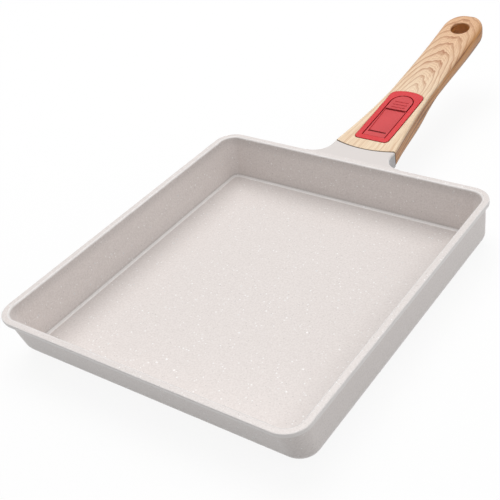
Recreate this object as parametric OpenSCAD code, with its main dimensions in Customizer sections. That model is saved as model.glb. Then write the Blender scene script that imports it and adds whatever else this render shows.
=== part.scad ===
// Tamagoyaki pan: a cast, coated rectangular pan with a steel base plate, and a moulded wood-look
// handle screwed to a tang on the pan's neck. Millimetres. The origin is the middle of the face
// that the pan stands on, +Y runs along the handle and +Z is up.

/* [Pan] */
// Length of the rim, along the handle's axis
rim_l = 210; // [170:1:260]
// Width of the rim, across the handle's axis
rim_w = 188; // [150:1:240]
// Height from the table to the top of the rim
pan_h = 30; // [26:0.5:40]
// Thickness of the cast wall, under the rim
wall_t = 2.4; // [1.8:0.1:3.2]
// How much thicker the wall gets towards the floor
wall_more = 3.6; // [1:0.1:4]
// Thickness of the cast floor above the base plate's recess
floor_t = 2.4; // [2:0.1:4]
// How far the side walls and the back wall lean outwards over the full height
side_lean = 0.4; // [0:0.1:3]
// How far the front wall leans outwards, laid back so that a roll slides out
front_lean = 8.8; // [1:0.2:14]
// Radius of the rim's corners, seen from above
corner_r = 13; // [9:0.5:24]
// Radius of the tub's corners at the foot, outside and seen from above
foot_r = 11; // [9:0.5:20]
// Radius of the outer edge round the bottom
bottom_r = 8; // [3:0.5:9]
// Radius between the walls and the floor, inside
floor_r = 1.8; // [1:0.1:4]

/* [Rim] */
// Width of the rim's flat top
rim_flat = 3.2; // [2.8:0.1:5]
// Radius where the rim turns down into the inner wall
rim_inner_r = 1.2; // [0.8:0.1:2]
// Thickness of the rim
rim_t = 3.3; // [2.4:0.1:4]
// Radius of the rim's outer edges
rim_edge_r = 0.8; // [0.4:0.1:1]

/* [Base plate] */
// Thickness of the steel plate
plate_t = 0.8; // [0.5:0.1:1.2]
// How far the plate stands out under the casting
plate_proud = 0.3; // [0.2:0.05:0.4]
// Distance from the casting's flat underside edge to the plate's edge
plate_margin = 3.5; // [2:0.5:12]
// Diameter of the plate's round holes
plate_hole_d = 4.2; // [3:0.2:6]
// Distance between neighbouring holes in a row
plate_pitch = 14; // [11:0.5:22]
// Least distance from a hole to the plate's edge
plate_edge = 4; // [2:0.5:10]
// Gap between the plate's edge and its recess
plate_gap = 0.1; // [0.05:0.05:0.3]

/* [Neck] */
// Width of the neck where the handle meets it
neck_w = 42; // [38:0.5:46]
// Height of the neck
neck_h = 11.3; // [10:0.1:13]
// Distance from the rim's outer edge to the middle of the joint
neck_l = 13.8; // [12:0.2:24]
// Radius of the flare that runs from the neck into the rim
flare_r = 12; // [8:0.5:12]
// Radius of the curved joint face, seen from above
seat_r = 60; // [45:1:120]
// Thickness of the walls left round the hollows under the neck
neck_wall = 3; // [2.4:0.1:4]
// Depth of the hollows under the neck
neck_hollow = 2.3; // [1.2:0.1:2.3]
// Thickness of the gasket in the joint
gasket_t = 0.9; // [0.6:0.1:1.5]
// How far the gasket's edge lies below the surfaces round it
gasket_inset = 0.35; // [0.2:0.05:0.6]

/* [Tang and screw] */
// Width of the tang
tang_w = 24; // [18:0.5:26]
// Thickness of the tang
tang_t = 4.8; // [4:0.1:5.2]
// Length of the tang behind the middle of the joint
tang_l = 35; // [34:0.5:36]
// Height of the tang's underside above the neck's underside, at the joint
tang_up = 2.7; // [2.4:0.1:3]
// Gap all round the tang in its socket
tang_gap = 0.25; // [0.1:0.05:0.4]
// Distance of the screw behind the middle of the joint
screw_at = 27; // [26:0.5:28]
// Diameter of the screw's shank
screw_d = 4.9; // [4.5:0.1:5.2]
// Gap between the shank and its hole in the tang
screw_gap = 0.1; // [0.05:0.05:0.2]
// Gap between the shank and its hole in the grip
shank_gap = 0.3; // [0.1:0.05:0.5]
// Diameter of the screw's head
head_d = 8.6; // [8:0.1:9.2]
// Height of the screw's head
head_h = 2.2; // [1.8:0.1:2.4]
// Length of the slots across the screw's head
slot_l = 4.8; // [3.6:0.1:5.6]
// Width of the slots
slot_w = 1; // [0.8:0.1:1.4]
// Depth of the slots
slot_deep = 1.2; // [0.8:0.1:1.4]
// Outer diameter of the spring washer
washer_d = 9; // [8.4:0.1:9.4]
// Thickness of the spring washer
washer_t = 0.9; // [0.7:0.1:1.1]
// Gap between the washer and the shank, and width of the washer's split
washer_gap = 0.3; // [0.2:0.05:0.5]
// Thickness of the grip between the tang's socket and the washer
washer_seat = 2; // [1.6:0.1:2.6]
// Gap between the washer and the wall of the screw's recess
recess_gap = 0.8; // [0.4:0.1:1]

/* [Handle] */
// Length of the grip from the middle of the joint to its tip
grip_l = 158.5; // [140:0.5:185]
// Width of the grip at its waist
waist_w = 28.5; // [26.5:0.5:32]
// Width of the grip at its tail
tail_w = 28.8; // [25:0.2:34]
// Distance over which the grip narrows from the neck to its waist
narrow_l = 60; // [45:1:75]
// Height of the grip's underside above the neck's underside, at the joint
grip_step = 0.5; // [0:0.1:1]
// Thickness of the grip at the belly under the thumb rest
belly_t = 17; // [15:0.1:18]
// Distance of the belly behind the joint
belly_at = 46; // [44:1:54]
// Thickness of the grip at the finger hollow behind the belly
hollow_t = 12.6; // [11.5:0.1:15]
// Distance of the finger hollow behind the joint
hollow_at = 81; // [68:1:90]
// Thickness of the grip at its tail
tail_t = 15; // [13:0.1:18]
// Slope of the grip's top at the joint, as rise over run
start_slope = 0.086; // [0:0.002:0.12]
// Height of the tip's top above the rim
tip_rise = 23.8; // [10:0.2:40]
// Edge radius along the top, at the joint
top_edge_r = 1.2; // [0.8:0.1:1.6]
// Edge radius along the top, at the tail
top_tail_r = 4; // [2:0.1:5]
// Edge radius along the underside, at the joint
low_edge_r = 2; // [1:0.1:2.4]
// Edge radius along the underside, from the belly to the tail
low_tail_r = 8; // [5:0.2:8]

/* [Hang hole] */
// Diameter of the hang hole
hang_d = 13; // [8:0.5:14]
// Distance from the tip to the middle of the hang hole
hang_from_tip = 17; // [13:0.2:20]

/* [Thumb rest] */
// Width of the red frame
frame_w = 24; // [22:0.5:24.5]
// Length of the red frame
frame_l = 55.6; // [52:0.2:58]
// Distance from the middle of the joint to the frame's front edge
frame_at = 9.4; // [8:0.2:11]
// Corner radius of the frame, in front
frame_r = 3.2; // [2:0.2:5]
// Corner radius of the frame, at the rear
frame_rear_r = 5.4; // [3:0.2:7]
// Rise of the arch across the frame's rear edge
frame_arch = 3.2; // [1:0.2:4]
// Depth of the frame's pocket in the grip
frame_t = 2; // [1.8:0.1:2.2]
// How far the frame stands out above the grip
frame_proud = 0.3; // [0.1:0.05:0.5]
// Gap between the frame and the walls of its pocket
frame_gap = 0.2; // [0.1:0.05:0.3]
// Width of the pad's opening in the frame
pad_w = 16.2; // [13:0.2:17]
// Distance from the frame's front edge to the pad's opening
pad_at = 4.4; // [3.4:0.2:6]
// Distance from the pad's opening to the frame's rear edge, along the middle
pad_back = 5.2; // [4:0.2:7]
// Width of the groove along the pad's sides and round its rear
groove_w = 0.5; // [0.4:0.05:0.9]
// Gap in front of the pad
pad_gap = 0.1; // [0.05:0.05:0.3]
// Thickness of the frame's floor under the pad
pad_floor = 0.8; // [0.6:0.05:1]
// Depth of the pad's middle field below the frame's top
pad_sunk = 0.7; // [0.4:0.05:0.8]
// Length of the pad's front lip
pad_lip = 4; // [2:0.2:6]
// Depth of the front lip below the frame's top
lip_sunk = 0.15; // [0.05:0.05:0.4]
// Length of the pad's raised field with the grip ribs, at the rear
pad_dome = 15.8; // [14:0.2:20]
// Depth of the raised field below the frame's top
dome_sunk = 0.1; // [0.05:0.05:0.6]
// Width of the pad's rim beside the sunk field, at its front
field_front_in = 1.5; // [0.8:0.1:2.5]
// Width of the pad's rim beside the sunk field, at its rear
field_rear_in = 0.6; // [0.4:0.1:2]
// Width of the groove in front of the raised field
divider_w = 0.6; // [0.3:0.1:1.2]
// Depth of that groove below the sunk field
divider_deep = 0.4; // [0.2:0.05:0.5]
// Number of grip ribs
rib_n = 3; // [2:1:4]
// Length of a grip rib
rib_l = 9.6; // [6:0.2:12]
// Width of a grip rib
rib_w = 1.3; // [0.8:0.1:1.6]
// Height of a grip rib
rib_h = 0.35; // [0.2:0.05:0.5]
// Diameter of the frame's two pegs
peg_d = 3.2; // [2.6:0.1:3.6]
// Length of the frame's pegs
peg_l = 4; // [3:0.2:5]
// Distance of the front peg behind the tang's end
peg_front = 5; // [4:0.2:6]
// Distance of the rear peg in front of the frame's rear edge
peg_rear = 9; // [6:0.2:11]

/* [Hidden] */
$fn = 64;
// Overlap of shapes that are joined, and how far a cutting shape runs past what it cuts
eps = 0.01;
cut = 1;

// Heights and plan places that several pieces share
cast_z = plate_proud;
recess_z = plate_t;
floor_z = recess_z + floor_t;
neck_z = pan_h - neck_h;
joint_y = rim_l / 2 + neck_l;
seat_c = joint_y + seat_r;
seat_sag = seat_r - sqrt(seat_r * seat_r - neck_w * neck_w / 4);
rim_in = rim_flat + rim_inner_r;
overhang = rim_in - wall_t;
under_r = min(1, 0.7 * (overhang - rim_edge_r));
wall_a = atan(wall_more / (pan_h - floor_z));
slope_a = atan(start_slope);
bend = (tip_rise - start_slope * grip_l) / (grip_l * grip_l);
// Underside of the washer's seat, above the tang's underside
seat_low = -tang_gap - washer_seat;

// Edges of the base plate, which follow the casting's flat underside
plate_in = overhang + bottom_r + plate_margin;
plate_x = rim_w / 2 - side_lean - plate_in;
plate_back = rim_l / 2 - side_lean - plate_in;
plate_front = rim_l / 2 - front_lean - plate_in;
plate_r = foot_r / 2;

// Steps in one corner of a ring, in one edge of a section, along the grip and in a curved cut
corner_n = 10;
arc_n = 6;
grip_n = 26;
band_n = 12;

// How quickly the grip narrows behind the joint: 1 is a straight taper
narrow_pow = 1.4;
// Shares of the edge radii by which the top and the underside close in at the very tip
tip_top = 0.55;
tip_low = 0.6;

function ease(a, b, t) = a + (b - a) * (1 - cos(180 * min(max(t, 0), 1))) / 2;
function arc(cx, cz, r, a0, a1, n) =
    [for (i = [0:n]) let (a = a0 + (a1 - a0) * i / n) [cx + r * cos(a), cz + r * sin(a)]];

// One solid from closed rings of points. Each ring has as many points, and turns anticlockwise
// seen from the side that the rings climb towards.
module loft(rings) {
    n = len(rings[0]);
    last = (len(rings) - 1) * n;
    sides = [for (i = [0:len(rings) - 2], j = [0:n - 1])
        let (a = i * n + j, b = i * n + (j + 1) % n)
        each [[a, a + n, b + n], [a, b + n, b]]];
    polyhedron(concat([for (r = rings) each r]), concat(
        [[for (j = [0:n - 1]) j]], sides, [[for (j = [n - 1:-1:0]) last + j]]));
}

// A level ring of the pan. Its distance in from the rim's outer edge grows by each wall's lean,
// and the outside's corner radius goes from the rim's to the foot's.
function pan_ring(inset, z) =
    let (k = (pan_h - z) / (pan_h - cast_z),
        hw = rim_w / 2 - inset - side_lean * k,
        back = rim_l / 2 - inset - side_lean * k,
        front = -rim_l / 2 + inset + front_lean * k,
        r = max(corner_r - inset + (foot_r + overhang - corner_r) * k, 2))
    [for (c = [[hw - r, back - r, 0], [r - hw, back - r, 90], [r - hw, front + r, 180],
               [hw - r, front + r, 270]], i = [0:corner_n])
        let (a = c[2] + 90 * i / corner_n) [c[0] + r * cos(a), c[1] + r * sin(a), z]];

// The wall's cross-section as points of [distance in from the rim's edge, height], from the
// underside, up the outside, over the rim and down the inside to the floor.
function wall_line() = concat(
    arc(overhang + bottom_r, cast_z + bottom_r, bottom_r, 270, 185, arc_n),
    arc(overhang - under_r, pan_h - rim_t - under_r, under_r, 0, 90, 3),
    arc(rim_edge_r, pan_h - rim_t + rim_edge_r, rim_edge_r, 270, 180, 3),
    arc(rim_edge_r, pan_h - rim_edge_r, rim_edge_r, 180, 90, 3),
    arc(rim_flat, pan_h - rim_inner_r, rim_inner_r, 90, wall_a, arc_n),
    arc(rim_in + wall_more + floor_r * tan(45 - wall_a / 2), floor_z + floor_r, floor_r,
        180 + wall_a, 270, arc_n));

// The tub: walls, rim and floor in one casting
module pan_shell() {
    loft([for (p = wall_line()) pan_ring(p[0], p[1])]);
}

// A cross-section of the neck or the grip at the distance y: half width w, top and underside
// heights, and the edge radii along the top and the underside.
function slice(y, w, top, low, rt, rl) =
    let (t = min(rt, w * 0.95), b = min(rl, w * 0.95, top - low - t),
        line = concat(arc(w - t, top - t, t, 0, 90, arc_n), arc(t - w, top - t, t, 90, 180, arc_n),
            arc(b - w, low + b, b, 180, 270, arc_n), arc(w - b, low + b, b, 270, 360, arc_n)))
    [for (i = [len(line) - 1:-1:0]) [line[i][0], y, line[i][1]]];

// Half width of the neck at y: straight, then flared by an arc until it runs along the rim
function neck_half(y) =
    let (d = min(max(rim_l / 2 + flare_r - y, 0), flare_r))
    neck_w / 2 + flare_r - sqrt(flare_r * flare_r - d * d);

// The neck, from inside the back wall to just past the joint's face. Its root stays below the
// rounding of the rim's inner edge.
module neck_solid() {
    root_y = rim_l / 2 - overhang - (wall_t + side_lean * neck_h / pan_h) / 2;
    end_y = joint_y + seat_sag + cut;
    flare = [for (i = [0:corner_n]) rim_l / 2 + flare_r * (1 - cos(90 * i / corner_n))];
    flat_y = rim_l / 2 - rim_flat;
    root_top = pan_h - rim_inner_r / 2;
    ys = concat([root_y, flat_y], [for (y = flare) if (y < end_y) y], [end_y]);
    loft([for (y = ys) slice(y, neck_half(y), y < flat_y ? root_top : pan_h, neck_z,
        top_edge_r, low_edge_r)]);
}

// The part of a plan that lies in front of the joint's face, moved forward by the distance gap
module before_seat(gap) {
    difference() {
        translate([-rim_w, 0]) square([2 * rim_w, seat_c]);
        translate([0, seat_c]) circle(seat_r + gap, $fn = 180);
    }
}

// Moves its children into the frame of the tang, whose underside starts at the joint
module at_tang() {
    translate([0, joint_y, neck_z + tang_up]) rotate([slope_a, 0, 0]) children();
}

// The flat tongue that the handle is screwed to, made larger all round by the distance gap
module tang_block(gap) {
    at_tang() translate([-tang_w / 2 - gap, -neck_l / 2, -gap])
        cube([tang_w + 2 * gap, neck_l / 2 + tang_l + gap, tang_t + 2 * gap]);
}

// Two hollows under the neck, with a web between them, as a casting of even thickness has
module neck_hollows() {
    half = (neck_w - 3 * neck_wall) / 2;
    for (s = [-1, 1])
        translate([s * (half + neck_wall) / 2 - half / 2, rim_l / 2, neck_z - cut])
            cube([half, neck_l - gasket_t - neck_wall, neck_hollow + cut]);
}

// The whole casting, with the recess for the base plate and the screw's hole in the tang
module pan_body() {
    color([0.86, 0.84, 0.82]) difference() {
        union() {
            pan_shell();
            difference() {
                neck_solid();
                translate([0, 0, neck_z - cut]) linear_extrude(neck_h + 2 * cut)
                    difference() {
                        translate([-neck_w, joint_y - seat_r]) square([2 * neck_w, 2 * seat_r]);
                        before_seat(gasket_t);
                    }
                neck_hollows();
            }
            tang_block(0);
        }
        translate([0, 0, -cut]) linear_extrude(recess_z + cut) plate_plan(plate_gap);
        at_tang() translate([0, screw_at, -cut])
            cylinder(d = screw_d + 2 * screw_gap, h = tang_t + 2 * cut);
    }
}

// Plan of the base plate, made larger all round by the distance grow
module plate_plan(grow) {
    x = plate_x - plate_r;
    y0 = plate_r - plate_front;
    y1 = plate_back - plate_r;
    r = plate_r + grow;
    translate([-x, y0 - r]) square([2 * x, y1 - y0 + 2 * r]);
    translate([-x - r, y0]) square([2 * (x + r), y1 - y0]);
    for (px = [-x, x], py = [y0, y1]) translate([px, py]) circle(r);
}

// The steel plate, with staggered rows of holes that the casting fills from above
module base_plate() {
    edge = plate_hole_d / 2 + plate_edge;
    rows = floor(plate_back / plate_pitch + 0.5);
    cols = floor(plate_x / plate_pitch + 0.5);
    color([0.72, 0.73, 0.75]) difference() {
        linear_extrude(plate_t) plate_plan(0);
        for (j = [-rows:rows], i = [-cols:cols]) {
            y = (j + 0.5) * plate_pitch;
            x = (i + (j % 2 == 0 ? 0 : 0.5)) * plate_pitch;
            if (y < plate_back - edge && y > edge - plate_front && abs(x) < plate_x - edge)
                translate([x, y, -cut]) cylinder(d = plate_hole_d, h = plate_t + 2 * cut, $fn = 24);
        }
    }
}

// The ring of the joint between the neck's face and the grip's face
module neck_gasket() {
    i = gasket_inset;
    color([0.16, 0.15, 0.15]) difference() {
        intersection() {
            translate([0, 0, neck_z]) linear_extrude(neck_h) difference() {
                translate([0, seat_c]) circle(seat_r + gasket_t, $fn = 180);
                translate([0, seat_c]) circle(seat_r, $fn = 180);
            }
            loft([for (y = [joint_y - gasket_t - cut, joint_y + seat_sag + cut])
                slice(y, neck_w / 2 - i, pan_h - i, neck_z + i, top_edge_r, low_edge_r)]);
        }
        tang_block(tang_gap);
    }
}

// The grip's shape along its length, with u measured from the middle of the joint
function grip_top(u) = pan_h + start_slope * u + bend * pow(max(u, 0), 2);
function grip_thick(u) =
    u < belly_at ? ease(neck_h - grip_step, belly_t, (u - seat_sag) / (belly_at - seat_sag))
    : u < hollow_at ? ease(belly_t, hollow_t, (u - belly_at) / (hollow_at - belly_at))
    : ease(hollow_t, tail_t, (u - hollow_at) / (grip_l - hollow_at - tail_w / 2));
function grip_half(u) =
    u < narrow_l + seat_sag
    ? (waist_w + (neck_w - waist_w) * pow(1 - max(u - seat_sag, 0) / narrow_l, narrow_pow)) / 2
    : ease(waist_w, tail_w, (u - narrow_l - seat_sag) / (grip_l - narrow_l - tail_w)) / 2;
function top_r(u) = ease(top_edge_r, top_tail_r, (u - belly_at) / (grip_l - belly_at - tail_w));
function low_r(u) = ease(low_edge_r, low_tail_r, u / belly_at);

// A section of the grip, drawn in round the tip by the share in: 0 at full width, 1 at the tip
function grip_slice(u, in = 0) =
    let (s = sqrt(1 - in * in), drop = 1 - s,
        top = grip_top(u) - top_tail_r * tip_top * drop,
        low = grip_top(u) - grip_thick(u) + low_tail_r * tip_low * drop)
    slice(joint_y + u, grip_half(u) * s, top, low, top_r(u) * s, low_r(u) * s);

// The whole grip before it is cut, from just in front of the joint to its round tip
module grip_solid() {
    tip_l = tail_w / 2;
    body_l = grip_l - tip_l + cut;
    loft(concat(
        [for (i = [0:grip_n]) grip_slice(body_l * i / grip_n - cut)],
        [for (a = [16, 31, 44, 55, 65, 74, 82]) grip_slice(grip_l - tip_l * (1 - sin(a)), sin(a))]));
}

// Outline of the frame with sharp corners: straight in front, arched at the rear
module frame_outline() {
    arch_r = (frame_w * frame_w / 4 + frame_arch * frame_arch) / (2 * frame_arch);
    translate([-frame_w / 2, 0]) square([frame_w, frame_l - frame_arch]);
    intersection() {
        translate([-frame_w / 2, frame_l / 2]) square([frame_w, frame_l / 2]);
        translate([0, frame_l - arch_r]) circle(arch_r, $fn = 180);
    }
}

// Plan of the frame, drawn in by the distance in, with its own corner radius at each end
module frame_plan(in) {
    for (end = [[frame_r, -cut], [frame_rear_r, frame_l / 2 - eps]])
        translate([0, joint_y + frame_at]) intersection() {
            offset(r = end[0] - in) offset(delta = -end[0]) frame_outline();
            translate([-frame_w, end[1]]) square([2 * frame_w, frame_l / 2 + cut]);
        }
}

// Plan of the pad, drawn in by the distance in, and in front by the distance front: square in
// front and round at the rear
module pad_plan(in, front) {
    r = pad_w / 2 - in;
    y0 = joint_y + frame_at + pad_at + front;
    y1 = joint_y + frame_at + frame_l - pad_back - pad_w / 2;
    translate([-r, y0]) square([2 * r, y1 - y0]);
    translate([0, y1]) circle(r);
}

// Everything between two heights measured from the grip's top, over a stretch of its length
module top_band(u0, u1, from, to, width) {
    us = [for (i = [0:band_n]) u0 + (u1 - u0) * i / band_n];
    translate([width / 2, joint_y, 0]) rotate([90, 0, -90]) linear_extrude(width)
        polygon(concat([for (u = us) [-u, grip_top(u) + from]],
            [for (i = [band_n:-1:0]) [-us[i], grip_top(us[i]) + to]]));
}

module frame_band(from, to) {
    top_band(frame_at - cut, frame_at + frame_l + cut, from, to, frame_w + 2 * cut);
}

// The frame's two pegs, made larger all round by the distance gap
module pegs(gap) {
    for (u = [tang_l + peg_front, frame_at + frame_l - peg_rear])
        translate([0, joint_y + u, grip_top(u) - frame_t - peg_l - gap])
            cylinder(d = peg_d + 2 * gap, h = peg_l + pad_floor / 2 + gap, $fn = 32);
}

// The grip, with its socket, the pocket on top, the screw's recess beneath and the hang hole
module handle_grip() {
    hang_u = grip_l - hang_from_tip;
    color([0.80, 0.62, 0.44]) difference() {
        grip_solid();
        translate([0, 0, neck_z - belly_t]) linear_extrude(neck_h + 2 * belly_t) before_seat(0);
        tang_block(tang_gap);
        intersection() {
            linear_extrude(3 * pan_h) frame_plan(0);
            frame_band(-frame_t, frame_w);
        }
        pegs(frame_gap);
        at_tang() translate([0, screw_at, seat_low - cut])
            cylinder(d = screw_d + 2 * shank_gap, h = washer_seat + 2 * cut);
        at_tang() translate([0, screw_at, seat_low - 2 * belly_t])
            cylinder(d = washer_d + 2 * recess_gap, h = 2 * belly_t);
        translate([0, joint_y + hang_u, grip_top(hang_u)])
            rotate([atan(start_slope + 2 * bend * hang_u), 0, 0])
                translate([0, 0, -2 * tail_t]) cylinder(d = hang_d, h = 3 * tail_t);
    }
}

// The red frame: a shallow tray with a floor under the pad and two pegs under the floor
module thumb_frame() {
    color([0.86, 0.24, 0.28]) {
        difference() {
            intersection() {
                linear_extrude(3 * pan_h) frame_plan(frame_gap);
                frame_band(-frame_t, frame_proud);
            }
            intersection() {
                linear_extrude(3 * pan_h) pad_plan(0, 0);
                frame_band(pad_floor - frame_t, frame_w);
            }
        }
        pegs(0);
    }
}

// The softer pad: a front lip, a sunk field between low rims, a groove, and a raised field with
// grip ribs
module thumb_pad() {
    u0 = frame_at + pad_at;
    u1 = frame_at + frame_l - pad_back;
    mid0 = u0 + pad_gap + pad_lip;
    mid1 = u1 - pad_dome;
    half = pad_w / 2 - groove_w;
    low = pad_floor - frame_t;
    lip = frame_proud - lip_sunk;
    field = frame_proud - pad_sunk;
    dome = frame_proud - dome_sunk;
    rib_pitch = (pad_dome - pad_w / 4) / (rib_n + 1);
    color([0.80, 0.30, 0.33]) intersection() {
        linear_extrude(3 * pan_h) pad_plan(groove_w, pad_gap);
        difference() {
            union() {
                top_band(u0, mid1 + eps, low, lip, pad_w);
                top_band(mid1, u1, low, dome, pad_w);
                for (i = [1:rib_n])
                    top_band(mid1 + i * rib_pitch - rib_w / 2, mid1 + i * rib_pitch + rib_w / 2,
                        low + eps, dome + rib_h, rib_l);
            }
            intersection() {
                top_band(mid0, mid1, field, cut, pad_w);
                translate([0, joint_y]) linear_extrude(3 * pan_h) polygon([
                    [field_front_in - half, mid0], [half - field_front_in, mid0],
                    [half - field_rear_in, mid1], [field_rear_in - half, mid1]]);
            }
            top_band(mid1 - divider_w, mid1, field - divider_deep, cut, 2 * (half - field_rear_in));
        }
    }
}

// A pan-head screw from beneath, through the washer and the grip into the tang
module handle_screw() {
    color([0.75, 0.76, 0.78]) at_tang() translate([0, screw_at, seat_low - washer_t])
        difference() {
            union() {
                translate([0, 0, -head_h]) cylinder(d = head_d, h = head_h);
                translate([0, 0, -eps]) cylinder(d = screw_d, h = tang_t - seat_low + washer_t);
            }
            for (a = [0, 90]) rotate([0, 0, a])
                translate([-slot_l / 2, -slot_w / 2, -head_h - cut])
                    cube([slot_l, slot_w, slot_deep + cut]);
        }
}

// A ring with one split, pressed flat under the screw's head
module spring_washer() {
    color([0.62, 0.63, 0.65]) at_tang() translate([0, screw_at, seat_low - washer_t])
        difference() {
            cylinder(d = washer_d, h = washer_t);
            translate([0, 0, -cut]) cylinder(d = screw_d + 2 * washer_gap, h = washer_t + 2 * cut);
            translate([0, -washer_gap / 2, -cut]) cube([washer_d, washer_gap, washer_t + 2 * cut]);
        }
}

pan_body();
base_plate();
neck_gasket();
handle_grip();
thumb_frame();
thumb_pad();
handle_screw();
spring_washer();
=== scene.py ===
"""Looks of a rectangular omelette pan: coated casting, moulded handle, red thumb rest, steel parts.

Lengths are in metres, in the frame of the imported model: the origin is the middle of the face that
the pan stands on, +Y runs along the handle and +Z is up. An outline point of the casting is written
as (inset, height), where the inset is the distance in from the rim's outer edge.
"""

import logging
import math
from contextlib import contextmanager
from dataclasses import dataclass, field
from enum import Enum
from functools import cache
from typing import Callable, Iterator, Mapping, Sequence

import bmesh
import bpy
from mathutils import Matrix, Vector


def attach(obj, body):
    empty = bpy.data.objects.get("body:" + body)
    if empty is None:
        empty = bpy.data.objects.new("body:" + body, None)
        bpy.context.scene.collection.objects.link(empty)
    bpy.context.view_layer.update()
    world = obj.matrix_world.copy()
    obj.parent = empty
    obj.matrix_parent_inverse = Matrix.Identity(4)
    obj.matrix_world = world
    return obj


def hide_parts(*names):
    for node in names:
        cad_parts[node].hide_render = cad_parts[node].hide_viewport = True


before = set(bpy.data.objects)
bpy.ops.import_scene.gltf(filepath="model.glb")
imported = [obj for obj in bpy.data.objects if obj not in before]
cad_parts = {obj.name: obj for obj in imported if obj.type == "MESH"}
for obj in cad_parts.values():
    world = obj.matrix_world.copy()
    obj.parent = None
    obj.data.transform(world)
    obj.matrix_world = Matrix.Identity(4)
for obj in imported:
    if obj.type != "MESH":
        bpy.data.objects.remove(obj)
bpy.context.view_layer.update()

LOG = logging.getLogger("omelette_pan")
BODY = "root"
NEAR = 1e-6

Point = tuple[float, float]
Place = tuple[float, float, float]
Colour = tuple[float, float, float]
Socket = bpy.types.NodeSocket
Sockets = Mapping[str, bpy.types.NodeSocket]

BLACK: Colour = (0.0, 0.0, 0.0)


class Combine(Enum):
    """How one solid is combined with another."""

    JOIN = "UNION"
    CUT = "DIFFERENCE"


class Corner(Enum):
    """The four rounded corners of a section, as signs along X and Z."""

    TOP_RIGHT = (1, 1)
    TOP_LEFT = (-1, 1)
    LOW_LEFT = (-1, -1)
    LOW_RIGHT = (1, -1)


def arc(centre: Point, radius: float, start: float, end: float, steps: int) -> list[Point]:
    """Works out points along an arc.

    Args:
        centre: Middle of the arc.
        radius: Radius of the arc.
        start: First angle, in degrees.
        end: Last angle, in degrees.
        steps: Number of chords.

    Returns:
        The points, both ends included.
    """
    angles = [math.radians(start + (end - start) * i / steps) for i in range(steps + 1)]
    return [(centre[0] + radius * math.cos(a), centre[1] + radius * math.sin(a)) for a in angles]


def ease(start: float, end: float, share: float) -> float:
    """Blends two values along half a cosine wave.

    Args:
        start: Value at share 0 and before.
        end: Value at share 1 and after.
        share: How far along the blend is.

    Returns:
        The blended value.
    """
    share = min(max(share, 0.0), 1.0)
    return start + (end - start) * (1 - math.cos(math.pi * share)) / 2


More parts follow.
